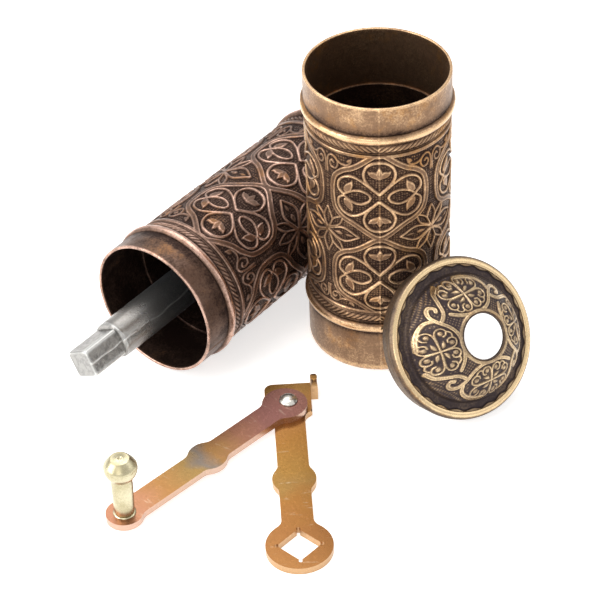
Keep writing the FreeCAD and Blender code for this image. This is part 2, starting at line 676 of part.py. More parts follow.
def crank_knob():
    """The turned knob with its own pin, which turns in the outer arm."""
    seat = 2 * ARM_THICKNESS + RUNNING_CLEARANCE
    shank = RIVET_DIAMETER / 2
    collar_top = seat + KNOB_COLLAR_HEIGHT
    neck = seat + KNOB_STEM_HEIGHT
    top = neck + KNOB_HEAD_HEIGHT
    equator = neck + KNOB_HEAD_HEIGHT / 2
    under_radius = KNOB_HEAD_RADIUS * KNOB_UNDER_SHARE
    crown_radius = KNOB_HEAD_RADIUS * KNOB_CROWN_SHARE
    knob = revolved(
        (0, ARM_THICKNESS),
        (shank, ARM_THICKNESS),
        (shank, seat),
        (KNOB_COLLAR_RADIUS, seat),
        (KNOB_COLLAR_RADIUS, collar_top - KNOB_COLLAR_CHAMFER),
        (KNOB_STEM_RADIUS, collar_top),
        (KNOB_STEM_TOP_RADIUS, neck),
        ((under_radius, neck + KNOB_ROUND_HEIGHT), (KNOB_HEAD_RADIUS, equator)),
        ((crown_radius, top - KNOB_ROUND_HEIGHT), (KNOB_DIMPLE_RADIUS, top)),
        (0, top - KNOB_DIMPLE_RADIUS),
    )
    sink = countersink(ARM_THICKNESS)
    knob = knob.fuse(sink).removeSplitter()
    knob.translate(Vector(OUTER_ARM_LENGTH, 0, 0))
    return knob


# The layout
def cup_clearance_distance():
    """How far the hopper's axis lies from the cup's, with the cup's lower bead near its side."""
    bead_level = FOOT_HEIGHT + BEAD_HEIGHT / 2
    drop = BEAD_RADIUS - bead_level
    return BEAD_RADIUS + math.sqrt(FIELD_RADIUS ** 2 - drop ** 2) + LAYOUT_GAP


def hopper_placement():
    """Lays the hopper on its beads, with its mouth towards the viewer and its foot behind the cup."""
    along = polar(1.0, HOPPER_HEADING)
    aside = polar(1.0, HOPPER_HEADING + 90)
    mouth = aside * cup_clearance_distance() - along * HOPPER_MOUTH_LEAD
    mouth.z = BEAD_RADIUS
    down_the_axis = Rotation(Vector(0, 0, 1), along * -1)
    return Placement(mouth + along * HOPPER_HEIGHT, upright_roll(down_the_axis, along))


def upright_roll(rotation, along):
    """Rolls a lying body about its axis so that its local X points straight up."""
    local_x = rotation.multVec(Vector(1, 0, 0))
    turn = math.degrees(math.atan2(local_x.cross(UP).dot(along * -1), local_x.dot(UP)))
    return Rotation(along * -1, turn).multiply(rotation)


def lid_placement():
    """Leans the lid's rear edge on the cup and stands its lower edge on the floor."""
    tilt = math.radians(LID_TILT)
    rise = LID_SKIRT_RADIUS * math.cos(tilt) + LID_SKIRT_DEPTH * math.sin(tilt)
    skirt_reach = LID_SKIRT_RADIUS * math.sin(tilt) + LID_SKIRT_DEPTH * math.cos(tilt)
    rim_reach = LID_RIM_RADIUS * math.sin(tilt)
    distance = FIELD_RADIUS + LAYOUT_GAP + max(skirt_reach, rim_reach)
    outward = polar(math.cos(tilt), LID_HEADING, math.sin(tilt))
    return Placement(polar(distance, LID_HEADING, rise), Rotation(UP, outward))


def crank_placement(heading):
    """Puts an arm's pivot on the floor at the crank's place, pointing along a heading."""
    return Placement(Vector(CRANK_PIVOT_X, CRANK_PIVOT_Y, 0), Rotation(UP, heading))


def placed(shape, placement):
    """A copy of a shape moved to its place."""
    copy = shape.copy()
    copy.Placement = placement.multiply(copy.Placement)
    return copy


def all_nodes():
    """Every sub-part by name, in its place."""
    lying = hopper_placement()
    inner = crank_placement(INNER_ARM_HEADING)
    outer = crank_placement(OUTER_ARM_HEADING)
    return {
        "catch_cup": catch_cup(),
        "hopper_body": placed(hopper_body(), lying),
        "mill_sleeve": placed(mill_sleeve(), lying),
        "outer_burr": placed(outer_burr(), lying),
        "inner_burr": placed(inner_burr(), lying),
        "burr_pin": placed(burr_pin(), lying),
        "drive_shaft": placed(drive_shaft(), lying),
        "shaft_guide": placed(shaft_guide(), lying),
        "spring_washer": placed(spring_washer(), lying),
        "burr_spring": placed(burr_spring(), lying),
        "bridge_bar": placed(bridge_bar(), lying),
        "bridge_screws": placed(bridge_screws(), lying),
        "adjusting_screw": placed(adjusting_screw(), lying),
        "lock_nut": placed(lock_nut(), lying),
        "thrust_ball": placed(thrust_ball(), lying),
        "dome_lid": placed(dome_lid(), lid_placement()),
        "inner_arm": placed(inner_arm(), inner),
        "pivot_rivet": placed(pivot_rivet(), inner),
        "outer_arm": placed(outer_arm(), outer),
        "crank_knob": placed(crank_knob(), outer),
    }


def main():
    """Writes one STEP file for each sub-part."""
    os.makedirs("parts", exist_ok=True)
    for name, shape in all_nodes().items():
        volume = round(shape.Volume, 1)
        print(name, "solids", len(shape.Solids), "valid", shape.isValid(), "volume", volume)
        shape.exportStep("parts/" + name + ".step")


main()
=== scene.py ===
# %% [markdown]
# # A Turkish coffee mill, taken apart
# The mill lies as four groups: a standing catch cup, the hopper with its shaft beside it, the
# dome lid leaning on the cup, and the folding crank in front. The CAD model brings every piece
# with its true size and place. This file gives the cast brass its relief and every piece its
# finish, then sets the camera and the light.

# %% Start from the CAD model
import math

import bmesh
import bpy
import numpy as np
from mathutils import Matrix, Vector


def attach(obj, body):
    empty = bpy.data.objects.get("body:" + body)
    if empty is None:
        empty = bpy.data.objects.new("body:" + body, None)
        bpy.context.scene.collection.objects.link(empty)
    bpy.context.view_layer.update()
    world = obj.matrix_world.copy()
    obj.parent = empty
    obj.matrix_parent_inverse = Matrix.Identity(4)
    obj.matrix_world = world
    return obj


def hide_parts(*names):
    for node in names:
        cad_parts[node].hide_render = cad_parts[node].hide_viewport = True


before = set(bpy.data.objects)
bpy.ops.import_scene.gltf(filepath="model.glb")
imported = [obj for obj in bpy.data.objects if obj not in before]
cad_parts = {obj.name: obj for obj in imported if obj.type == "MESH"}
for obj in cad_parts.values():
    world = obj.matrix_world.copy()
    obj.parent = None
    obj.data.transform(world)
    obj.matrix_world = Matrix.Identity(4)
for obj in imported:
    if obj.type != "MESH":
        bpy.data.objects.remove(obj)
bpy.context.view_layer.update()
MM = 0.001

# %% [markdown]
# ## Camera
# A long lens looks down at 38 degrees from the front. It was found by fitting the cup's mouth,
# its beads and its foot. The camera rolls about 2 degrees, as a hand-set tripod would.

# %% Camera
CAMERA_LENS = 150.0
CAMERA_DISTANCE = 886.9
CAMERA_ELEVATION = math.radians(38.38)
CAMERA_ROLL = math.radians(-2.01)
CAMERA_TARGET = np.array([-28.2, 0.0, 14.1])


def place_camera():
    """The camera stands at the target minus its viewing direction times the distance."""
    forward = np.array([0, math.cos(CAMERA_ELEVATION), -math.sin(CAMERA_ELEVATION)])
    level = np.array([1.0, 0, 0])
    raised = np.cross(level, forward)
    right = level * math.cos(CAMERA_ROLL) + raised * math.sin(CAMERA_ROLL)
    up = raised * math.cos(CAMERA_ROLL) - level * math.sin(CAMERA_ROLL)
    data = bpy.data.cameras.new("camera")
    data.sensor_width = 36.0
    data.lens = CAMERA_LENS
    data.clip_start = 0.05
    data.clip_end = 20
    camera = bpy.data.objects.new("camera", data)
    bpy.context.scene.collection.objects.link(camera)
    place = Matrix.Identity(4)
    for row in range(3):
        place[row][0], place[row][1], place[row][2] = right[row], up[row], -forward[row]
        place[row][3] = (CAMERA_TARGET[row] - forward[row] * CAMERA_DISTANCE) * MM
    camera.matrix_world = place
    bpy.context.scene.camera = camera


place_camera()
print("camera:", CAMERA_LENS, "mm lens,", CAMERA_DISTANCE, "mm from", CAMERA_TARGET)

# %% [markdown]
# ## Floor and light
# A plain pale floor carries the pieces. Broad soft lamps stand in for a light tent: one large
# panel above, one at the left, and fainter ones in front and at the right. The camera and every
# reflection see the world as white, while the world lights the object only gently.

# %% What floor and world share
def new_material(name):
    """An empty node material and its node tree."""
    material = bpy.data.materials.new(name)
    material.use_nodes = True
    material.node_tree.nodes.clear()
    return material, material.node_tree


def add_node(tree, kind, inputs=None, **settings):
    """A node with its settings, whose inputs are numbers, colours or links from sockets."""
    made = tree.nodes.new(kind)
    for key, value in settings.items():
        setattr(made, key, value)
    for key, value in (inputs or {}).items():
        socket = made.inputs[key]
        if isinstance(value, bpy.types.NodeSocket):
            tree.links.new(value, socket)
        else:
            socket.default_value = value
    return made


def light_paths(tree):
    """One where a camera, glossy or transmission ray looks, and nought for diffuse light."""
    path = add_node(tree, "ShaderNodeLightPath").outputs
    first = add_node(tree, "ShaderNodeMath",
                     {0: path["Is Camera Ray"], 1: path["Is Glossy Ray"]}, operation="MAXIMUM")
    both = add_node(tree, "ShaderNodeMath",
                    {0: first.outputs[0], 1: path["Is Transmission Ray"]}, operation="MAXIMUM")
    return both.outputs[0]


# %% The floor
FLOOR_LEVEL = -0.02
FLOOR_REACH = 3000
FLOOR_GLOW = 0.62


def make_floor():
    """A square of floor, white where nothing shades it."""
    mesh = bpy.data.meshes.new("floor")
    corners = [(-1, -1), (1, -1), (1, 1), (-1, 1)]
    mesh.from_pydata([(x * FLOOR_REACH * MM, y * FLOOR_REACH * MM, FLOOR_LEVEL * MM)
                      for x, y in corners], [], [(0, 1, 2, 3)])
    floor = bpy.data.objects.new("floor", mesh)
    bpy.context.scene.collection.objects.link(floor)
    material, tree = new_material("floor")
    glow = add_node(tree, "ShaderNodeMath", {0: light_paths(tree), 1: FLOOR_GLOW},
                    operation="MULTIPLY")
    shader = add_node(tree, "ShaderNodeBsdfPrincipled",
                      {"Base Color": (0.93, 0.925, 0.915, 1), "Roughness": 0.75,
                       "Specular IOR Level": 0.1, "Emission Color": (1, 1, 1, 1),
                       "Emission Strength": glow.outputs[0]})
    add_node(tree, "ShaderNodeOutputMaterial", {"Surface": shader.outputs[0]})
    mesh.materials.append(material)


make_floor()
print("floor at", FLOOR_LEVEL, "mm")


# %% The world
WORLD_LIGHT, WORLD_SEEN = 0.5, 1.0


def make_world():
    """White to the eye and to reflections, and a gentle grey as a source of light."""
    world = bpy.data.worlds.new("world")
    bpy.context.scene.world = world
    world.use_nodes = True
    tree = world.node_tree
    tree.nodes.clear()
    strength = add_node(tree, "ShaderNodeMapRange",
                        {"Value": light_paths(tree), "To Min": WORLD_LIGHT, "To Max": WORLD_SEEN})
    background = add_node(tree, "ShaderNodeBackground",
                          {"Color": (1, 1, 1, 1), "Strength": strength.outputs[0]})
    add_node(tree, "ShaderNodeOutputWorld", {"Surface": background.outputs[0]})


make_world()
print("world lights at", WORLD_LIGHT, "and is seen at", WORLD_SEEN)


# %% The lamps
# Each lamp has its place, the point it looks at, its side in mm and its power in watts.
LAMPS = {
    "lamp_top": ((-120, 160, 640), (0, 0, 20), 700, 3.0),
    "lamp_left": ((-640, -260, 360), (0, 0, 30), 520, 3.5),
    "lamp_right": ((660, -100, 380), (0, 0, 30), 420, 0.35),
    "lamp_front": ((-200, -760, 420), (0, 0, 20), 420, 0.9),
}


def make_lamps():
    """Square area lamps, each aimed at a point."""
    for name, (place, aim, size, power) in LAMPS.items():
        data = bpy.data.lights.new(name, "AREA")
        data.size = size * MM
        data.energy = power
        lamp = bpy.data.objects.new(name, data)
        bpy.context.scene.collection.objects.link(lamp)
        lamp.location = Vector(place) * MM
        direction = (Vector(aim) - Vector(place)).normalized()
        lamp.rotation_euler = direction.to_track_quat("-Z", "Y").to_euler()


make_lamps()
bpy.context.scene.view_settings.view_transform = "Standard"
print("lamps:", {name: power for name, (_, _, _, power) in LAMPS.items()})

# %% [markdown]
# ## Drawing the relief
# The casting's ornament is drawn once, as a mould-maker would cut it: strokes on a flat plate.
# A stroke is a smooth line with a width at every point. Each spot of the plate takes the height
# of the highest stroke that covers it, so lines cross and join by themselves. The vessels and
# the lid then read their height from the plate.

# %% A stroke's line
def smooth_line(points, spacing=0.1):
    """A Catmull-Rom curve through (x, y, half width) points, each span sampled evenly."""
    knots = np.array(points, float)
    padded = np.vstack([2 * knots[0] - knots[1], knots, 2 * knots[-1] - knots[-2]])
    pieces = []
    for index in range(len(knots) - 1):
        before, start, end, after = padded[index:index + 4]
        count = max(2, int(np.hypot(*(end - start)[:2]) / spacing))
        t = np.linspace(0, 1, count, endpoint=False)[:, None]
        pieces.append(0.5 * (2 * start + (end - before) * t
                             + (2 * before - 5 * start + 4 * end - after) * t ** 2
                             + (3 * start - before - 3 * end + after) * t ** 3))
    pieces.append(knots[-1:])
    return np.vstack(pieces)


# %% The plate
FAR_AWAY = 9.0


class Plate:
    """A flat raster of heights in mm, with each spot's distance to the nearest stroke's edge."""

    def __init__(self, low, high, pitch):
        self.low = np.array(low, float)
        self.pitch = pitch
        counts = np.ceil((np.array(high) - self.low) / pitch).astype(int) + 1
        self.xs = self.low[0] + pitch * np.arange(counts[0])
        self.ys = self.low[1] + pitch * np.arange(counts[1])
        self.height = np.zeros((counts[1], counts[0]), np.float32)
        self.edge = np.full((counts[1], counts[0]), FAR_AWAY, np.float32)

    def distance(self, line, rows, columns):
        """The least over the line's samples of the distance to one less its half width."""
        x = self.xs[columns][None, :].astype(np.float32)
        y = self.ys[rows][:, None].astype(np.float32)
        least = np.full((y.size, x.size), FAR_AWAY, np.float32)
        for px, py, half in line.astype(np.float32):
            np.minimum(least, np.sqrt((x - px) ** 2 + (y - py) ** 2) - half, out=least)
        return least

    def stroke(self, points, height, bevel=None, dish=0.0):
        """Raises a line. Its side rises as a quarter circle over the bevel, then it is flat.

        A dish lowers the flat part by that share, over 0.4 mm inside the bevel.
        """
        line = smooth_line(points)
        margin = 1.2 + line[:, 2].max()
        low = line[:, :2].min(0) - margin
        high = line[:, :2].max(0) + margin
        columns = np.nonzero((self.xs > low[0]) & (self.xs < high[0]))[0]
        rows = np.nonzero((self.ys > low[1]) & (self.ys < high[1]))[0]
        if not len(columns) or not len(rows):
            return
        window = np.ix_(rows, columns)
        edge = self.distance(line, rows, columns)
        reach = bevel or line[:, 2].max()
        rise = np.clip(-edge / reach, 0, 1)
        shape = np.sqrt(1 - (1 - rise) ** 2)
        if dish:
            inner = np.clip((-edge - reach) / 0.4, 0, 1)
            shape = shape - dish * inner * inner * (3 - 2 * inner)
        self.height[window] = np.maximum(self.height[window], height * shape)
        self.edge[window] = np.minimum(self.edge[window], edge)

    def sample(self, x, y):
        """Heights and edge distances at points, by bilinear interpolation."""
        column = np.clip((x - self.low[0]) / self.pitch, 0, len(self.xs) - 1.001)
        row = np.clip((y - self.low[1]) / self.pitch, 0, len(self.ys) - 1.001)
        c, r = column.astype(int), row.astype(int)
        fc, fr = column - c, row - r
        found = []
        for grid in (self.height, self.edge):
            found.append(grid[r, c] * (1 - fc) * (1 - fr) + grid[r, c + 1] * fc * (1 - fr)
                         + grid[r + 1, c] * (1 - fc) * fr + grid[r + 1, c + 1] * fc * fr)
        return found


# %% [markdown]
# ## The vessels' ornament
# One cell of the pattern is an eighth of the way round and half the ornament's height: half of a
# four-lobed medallion, a quarter of the leaf rosette beside it, and the scrolls in the corner.
# Mirrors of that cell cover both vessels. Distances are in mm from the medallion's middle line
# and from the belt where the two rows of medallions meet.

# %% The cell's size, and helpers for its strokes
CELL_WIDTH = 19.44
CELL_HEIGHT = 33.0
CELL_MARGIN = 0.6
CELL_PITCH = 0.06
MEDALLION_AT = 16.8


def mirrored(points, axis_at):
    """The same stroke on both sides of a horizontal axis."""
    return [points, [(x, 2 * axis_at - y, w) for x, y, w in points]]


def widths(points, half):
    """Points with the same half width all along."""
    return [(x, y, half) for x, y in points]


# %% The vessels' plate
def draw_vessel_cell():
    """The cell's strokes, from the broad bands down to the leaves and scrolls."""
    plate = Plate((-CELL_MARGIN, -CELL_MARGIN),
                  (CELL_WIDTH + CELL_MARGIN, CELL_HEIGHT + CELL_MARGIN), CELL_PITCH)
    at = MEDALLION_AT
    band = widths([(17.0, at - 0.01), (16.9, at + 2.6), (16.3, at + 5.6), (15.1, at + 7.7),
                   (12.6, at + 9.7), (9.7, at + 10.9), (7.4, at + 12.2), (5.2, at + 13.7),
                   (3.4, at + 15.0), (1.6, at + 16.1), (0, at + 16.5)], 1.02)
    for points in mirrored(band, at):
        plate.stroke(points, 0.5, bevel=0.32, dish=0.2)
    heart = widths([(0.3, at + 1.5), (2.9, at + 3.9), (6.1, at + 6.6), (9.4, at + 8.0),
                    (12.7, at + 7.0), (14.5, at + 4.6), (14.5, at + 2.1), (12.4, at + 0.1)], 0.56)
    for points in mirrored(heart, at):
        plate.stroke(points, 0.54)
    lobe = widths([(0.2, at + 1.7), (2.0, at + 3.4), (3.9, at + 5.4), (5.1, at + 7.6),
                   (5.35, at + 9.7), (4.4, at + 11.9), (2.4, at + 13.3), (0, at + 13.7)], 0.6)
    for points in mirrored(lobe, at):
        plate.stroke(points, 0.54)
    eye = widths([(3.0, at), (3.9, at + 1.6), (6.6, at + 2.7), (9.6, at + 2.1),
                  (12.4, at + 0.3)], 0.55)
    for points in mirrored(eye, at):
        plate.stroke(points, 0.52)
    flame = [(11.9, at + 2.0, 0.8), (11.0, at + 3.0, 1.5), (10.3, at + 4.1, 1.25),
             (9.7, at + 5.2, 0.65), (9.4, at + 6.6, 0.1)]
    for points in mirrored(flame, at):
        plate.stroke(points, 0.52, bevel=0.5)
    side_petal = [(0.5, at + 8.2, 0.6), (1.8, at + 9.3, 1.2), (3.1, at + 9.7, 0.75),
                  (4.0, at + 10.6, 0.12)]
    middle_petal = [(0, at + 8.2, 0.8), (0, at + 9.9, 1.15), (0, at + 12.0, 0.12)]
    for points in mirrored(side_petal, at) + mirrored(middle_petal, at):
        plate.stroke(points, 0.48, bevel=0.5)
    leaves = [((18.9, 0.4), (12.8, 2.7), (7.2, 0.1)),
              ((19.3, 0.6), (17.6, 4.6), (19.2, 9.0)),
              ((18.7, 0.9), (14.6, 3.6), (12.9, 7.6)),
              ((18.9, 1.2), (17.0, 5.0), (12.9, 7.7))]
    for start, bulge, tip in leaves:
        plate.stroke(widths([start, bulge, tip], 0.43), 0.48)
    plate.stroke([(16.6, 0, 0.2), (14.6, 0, 0.75), (13.4, 0, 0.2)], 0.42, bevel=0.5)
    plate.stroke([(12.2, 0, 0.2), (10.8, 0, 0.5), (9.2, 0, 0.1)], 0.32, bevel=0.4)
    plate.stroke([(CELL_WIDTH, 0, 0.9), (CELL_WIDTH, 0.1, 0.9)], 0.5, bevel=0.7)
    scroll = widths([(19.0, at + 7.2), (19.1, at + 10.4), (18.6, at + 12.8), (17.0, at + 13.7),
                     (15.2, at + 12.8), (14.7, at + 10.9), (15.7, at + 9.4), (17.3, at + 9.6),
                     (17.9, at + 10.9), (17.1, at + 11.9), (16.3, at + 11.3)], 0.42)
    stem = widths([(15.6, at + 13.0), (13.6, at + 11.7), (11.4, at + 11.6), (9.9, at + 12.6),
                   (9.6, at + 13.9)], 0.38)
    plate.stroke(scroll, 0.42)
    plate.stroke(stem, 0.42)
    plate.stroke([(11.2, at + 12.9, 0.3), (10.3, at + 13.2, 0.7), (9.2, at + 14.0, 0.1)], 0.42,
                 bevel=0.5)
    plate.stroke(widths([(-1, at + 15.8), (CELL_WIDTH + 1, at + 15.8)], 0.75), 0.5, bevel=0.4)
    return plate


vessel_plate = draw_vessel_cell()
print("vessel plate:", vessel_plate.height.shape, "spots, highest",
      round(float(vessel_plate.height.max()), 2), "mm")

# %% [markdown]
# ## Surfaces from grids
# Each vessel is a shape turned about an axis, so a point is a bearing, a distance from the axis
# and a height. A grid of such points becomes a mesh in one step. The cup stands on its axis, and
# the hopper's axis lies level and points to its mouth.

# %% Helpers for grids
class Axes:
    """A turned piece's own frame: its origin in mm and its three directions as rows."""

    def __init__(self, origin, x, y, z):
        self.origin = np.array(origin, float)
        self.directions = np.array([x, y, z], float)

    def place(self, radius, bearing, height):
        """Origin + radius cos(bearing) X + radius sin(bearing) Y + height Z, in metres."""
        local = np.stack([radius * np.cos(bearing), radius * np.sin(bearing), height], -1)
        return (self.origin + local @ self.directions) * MM


CUP_AXES = Axes((0, 0, 0), (1, 0, 0), (0, 1, 0), (0, 0, 1))
HOPPER_AXES = Axes((-3.5447, 76.2306, 26.15), (0, 0, 1), (-0.7782431, 0.6279631, 0),
                   (-0.6279631, -0.7782431, 0))
LID_AXES = Axes((25.7336, -38.1516, 25.5587), (0.82903757, 0.5591929, 0),
                (-0.32073987, 0.47551642, 0.81915204), (0.4580640, -0.6791078, 0.5735764))
print("the hopper points along", HOPPER_AXES.directions[2])
print("the lid points along", LID_AXES.directions[2])


# %% Faces and meshes
def grid_faces(rows, columns, wrap_rows=False, wrap_columns=False):
    """Quads over a grid of rows x columns vertices, joined round at the wrapped sides."""
    r = np.arange(rows if wrap_rows else rows - 1)[:, None]
    c = np.arange(columns if wrap_columns else columns - 1)[None, :]
    r1, c1 = (r + 1) % rows, (c + 1) % columns
    corners = [r * columns + c, r * columns + c1, r1 * columns + c1, r1 * columns + c]
    spread = [np.broadcast_to(corner, (r.size, c.size)) for corner in corners]
    return np.stack(spread, -1).reshape(-1, 4)


def make_piece(name, points, faces, body, replaces=(), values=None, uv=None, sharp=50):
    """A mesh object from arrays, with point attributes, riding on its CAD body.

    Faces are arrays of corner numbers, one row for each face, or one row alone for a big face.
    """
    mesh = bpy.data.meshes.new(name)
    flat = [np.asarray(face).ravel() for face in faces]
    mesh.vertices.add(len(points))
    mesh.vertices.foreach_set("co", np.ascontiguousarray(points, np.float32).ravel())
    sizes = np.concatenate([np.full(len(face), face.shape[1]) if face.ndim == 2
                            else np.array([len(face)]) for face in faces])
    loops = np.concatenate(flat).astype(np.int32)
    mesh.loops.add(len(loops))
    mesh.loops.foreach_set("vertex_index", loops)
    mesh.polygons.add(len(sizes))
    starts = np.concatenate([[0], np.cumsum(sizes)[:-1]]).astype(np.int32)
    mesh.polygons.foreach_set("loop_start", starts)
    mesh.update(calc_edges=True)
    mesh.validate()
    for key, array in (values or {}).items():
        layer = mesh.attributes.new(key, "FLOAT", "POINT")
        layer.data.foreach_set("value", np.ascontiguousarray(array, np.float32).ravel())
    if uv is not None:
        layer = mesh.uv_layers.new(name="plate")
        layer.data.foreach_set("uv", np.ascontiguousarray(uv[loops], np.float32).ravel())
    mesh.polygons.foreach_set("use_smooth", np.ones(len(sizes), bool))
    mesh.set_sharp_from_angle(angle=math.radians(sharp))
    piece = bpy.data.objects.new(name, mesh)
    bpy.context.scene.collection.objects.link(piece)
    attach(piece, body)
    if replaces:
        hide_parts(*replaces)
    print(name, "has", len(points), "points and", int((sizes - 2).sum()), "triangles")
    return piece


# %% [markdown]
# ## The two cast shells
# A shell is the vessel's plain part: its foot, its two beads, the bare neck, the rim and the
# whole inside. Its profile is a list of radii and heights taken from the CAD model, with a tone
# for each point. The tone tells the finish how bright the metal is there: rubbed edges are near
# one, and hollows that never get touched are near nought. Some tones are painted shade: the
# near-black inside of the hopper, the dark band just under the ledge inside both vessels and the
# darker neck beside each bead.

# %% Profile helpers
def arc(centre, radius, start, end, count, tone):
    """Points of an arc in the (radius, height) plane, from one angle in degrees to another."""
    turn = np.radians(np.linspace(start, end, count))
    return [(centre[0] + radius * math.cos(a), centre[1] + radius * math.sin(a), tone)
            for a in turn]


def subdivided(profile, longest):
    """The same profile with extra points, so that no step is longer than a length."""
    fine = [profile[0]]
    for start, end in zip(profile, profile[1:]):
        length = math.hypot(end[0] - start[0], end[1] - start[1])
        count = max(1, math.ceil(length / longest))
        for step in range(1, count + 1):
            fine.append(tuple(a + (b - a) * step / count for a, b in zip(start, end)))
    return np.array(fine)


# %% The shells' sizes and the bead
NECK, BEAD, MOUTH, CHAMBER = 25.0, 26.15, 23.95, 23.2
FOOT_TOP, BEAD_TALL, NECK_TALL = 18.5, 3.4, 10.7
RIM_ROUND = 0.3
WALL_UNDER_RELIEF = 24.16
SEAM_PROUD, SEAM_WIDE = 0.22, 0.3
SHELL_AROUND = 300
LONGEST_STEP = 6.0


def bead_profile(low):
    """A bead from its low edge up: a half round with a fine step on both sides."""
    rise = BEAD - NECK
    turn = np.linspace(0, math.pi, 11)
    shape = np.sin(turn) ** 0.75
    heights = low + BEAD_TALL / 2 * (1 - np.cos(turn))
    return [(NECK - 0.5 + (rise + 0.5) * s, h, 0.25 + 0.75 * s ** 2)
            for s, h in zip(shape, heights)]


# %% The outside and the mouth
def outside_profile(height, foot_radius, bare):
    """Up the outside from the foot's edge to the rim, as (radius, height, tone).

    The bare neck and foot have their own tone, which darkens towards the beads as painted shade
    in the crease beside each bead.
    """
    low_bead, top_bead = FOOT_TOP, height - NECK_TALL
    points = arc((NECK - foot_radius, foot_radius), foot_radius, -90, 0, 7, 0.85)
    # Next to the low bead the tone drops: painted shade in the crease.
    points += [(NECK, foot_radius + 1.2, bare + 0.06), (NECK, low_bead - 5.5, bare),
               (NECK, low_bead - 2.2, bare - 0.1), (NECK, low_bead - 0.2, 0.1)]
    points += bead_profile(low_bead)
    points += [(WALL_UNDER_RELIEF, low_bead + BEAD_TALL + 0.1, 0.0),
               (WALL_UNDER_RELIEF, top_bead - BEAD_TALL - 0.1, 0.0)]
    points += bead_profile(top_bead - BEAD_TALL)
    # Above the top bead the tone drops too: painted shade in the crease.
    points += [(NECK, top_bead + 0.25, 0.12), (NECK, top_bead + 2.6, bare - 0.14),
               (NECK, top_bead + 4.6, bare), (NECK, height - 0.9, bare + 0.04)]
    points += arc((NECK - RIM_ROUND, height - RIM_ROUND), RIM_ROUND, 0, 90, 5, 0.85)
    return points


def mouth_profile(height, wall, ledge):
    """Over the rim and down the inside past the ledge that takes the spigot."""
    points = arc((MOUTH + RIM_ROUND, height - RIM_ROUND), RIM_ROUND, 90, 180, 5, 0.8)
    # Just under the ledge the tone drops to 0.1: painted shade under the step.
    points += [(MOUTH, height - 1.2, wall + 0.1), (MOUTH, height - 21.9, wall),
               (CHAMBER + 0.12, height - 22.0, ledge), (CHAMBER, height - 22.1, 0.1),
               (CHAMBER, height - 23.5, 0.12)]
    return points


# %% Turning a profile
def seam_ridge(bearing, seam):
    """How much of the mould's seam shows: exp(-(distance / width) squared), on both sides."""
    offset = np.abs(np.angle(np.exp(2j * (bearing - seam)))) / 2 * NECK
    return np.exp(-(offset / SEAM_WIDE) ** 2)[None, :]


def turned(name, axes, profile, around, body, replaces, seam, closed):
    """A profile of (radius, height, tone, share of the seam) rows, carried round the axis.

    A closed profile is a ring. One that isn't closed gets a point on the axis at both ends.
    """
    bearing = np.arange(around) / around * 2 * np.pi + seam
    radius, height, tone, outside = [profile[:, column][:, None] for column in range(4)]
    ridge = SEAM_PROUD * seam_ridge(bearing, seam)
    full = radius + ridge * outside
    points = axes.place(full, bearing[None, :], height + 0 * full).reshape(-1, 3)
    tone = tone + 0.12 * ridge / SEAM_PROUD * outside + 0 * full
    rows = len(profile)
    if closed:
        faces = [grid_faces(rows, around, wrap_rows=True, wrap_columns=True)]
    else:
        faces = [grid_faces(rows, around, wrap_columns=True)]
        ends = axes.place(np.zeros(2), np.zeros(2), profile[[0, -1], 1])
        first, last = rows * around, rows * around + 1
        points = np.vstack([points, ends])
        tone = np.append(tone.ravel(), [profile[0, 2], profile[-1, 2]])
        c = np.arange(around)
        faces.append(np.stack([np.full(around, first), (c + 1) % around, c], -1))
        top = (rows - 1) * around
        faces.append(np.stack([np.full(around, last), top + c, top + (c + 1) % around], -1))
    values = {"tone": np.clip(tone.ravel(), 0, 1)}
    return make_piece(name, points, faces, body, replaces, values, sharp=35)


# %% The cup's shell
CUP_HEIGHT = 111.1
CUP_SEAM = math.radians(-91.4)
HOPPER_HEIGHT = 120.3
HOPPER_SEAM = math.radians(-108.6)


def with_outside(outside, inside):
    """One fine profile from an outside, which shows the seam, and an inside, which doesn't."""
    profile = [(*point, 1.0) for point in outside] + [(*point, 0.0) for point in inside]
    return subdivided(profile, LONGEST_STEP)


cup_inside = mouth_profile(CUP_HEIGHT, 0.5, 0.3) + [
    (CHAMBER, 4.4, 0.3), (CHAMBER - 0.6, 3.0, 0.3), (CHAMBER - 2.0, 2.4, 0.3),
    (0.4, 2.4, 0.3)]
cup_profile = with_outside([(0.4, 0.0, 0.3)] + outside_profile(CUP_HEIGHT, 3.0, 0.6), cup_inside)
turned("cup_shell", CUP_AXES, cup_profile, SHELL_AROUND, "cup", ["catch_cup"],
       CUP_SEAM, closed=False)

# %% The hopper's shell
FOOT_BORE, GUIDE_SEAT = 24.13, 22.4
# The hopper's inside and its ledge are toned near nought: painted shade deep inside the vessel.
hopper_inside = mouth_profile(HOPPER_HEIGHT, 0.05, 0.1) + [
    (CHAMBER, 44.0, 0.05), (GUIDE_SEAT, 44.0, 0.1), (GUIDE_SEAT, 18.0, 0.05),
    (FOOT_BORE, 18.0, 0.05), (FOOT_BORE, 0.56, 0.1)]
hopper_profile = with_outside(outside_profile(HOPPER_HEIGHT, 0.56, 0.38), hopper_inside)
turned("hopper_shell", HOPPER_AXES, hopper_profile, SHELL_AROUND, "hopper",
       ["hopper_body"], HOPPER_SEAM, closed=True)

# %% [markdown]
# ## The ornament bands
# The relief lies on two half shells per vessel, because a casting's mould opens in two halves and
# each half is one mesh. A grid point reads its height from the plate. A rope runs round in the
# groove above and below the ornament, so its strands are a formula: a slanted row of rounds.

# %% The rope's shape
FIELD_GROUND = 24.28
RELIEF_TALL = 0.62
DRAWN_FULL = 0.52
BAND_ROWS, BAND_COLUMNS = 306, 318
BAND_BACK = WALL_UNDER_RELIEF - 0.12
MEDALLION_ROUND = 24.75
ROPE_TALL = 4.6
ROPE_STRANDS = 76


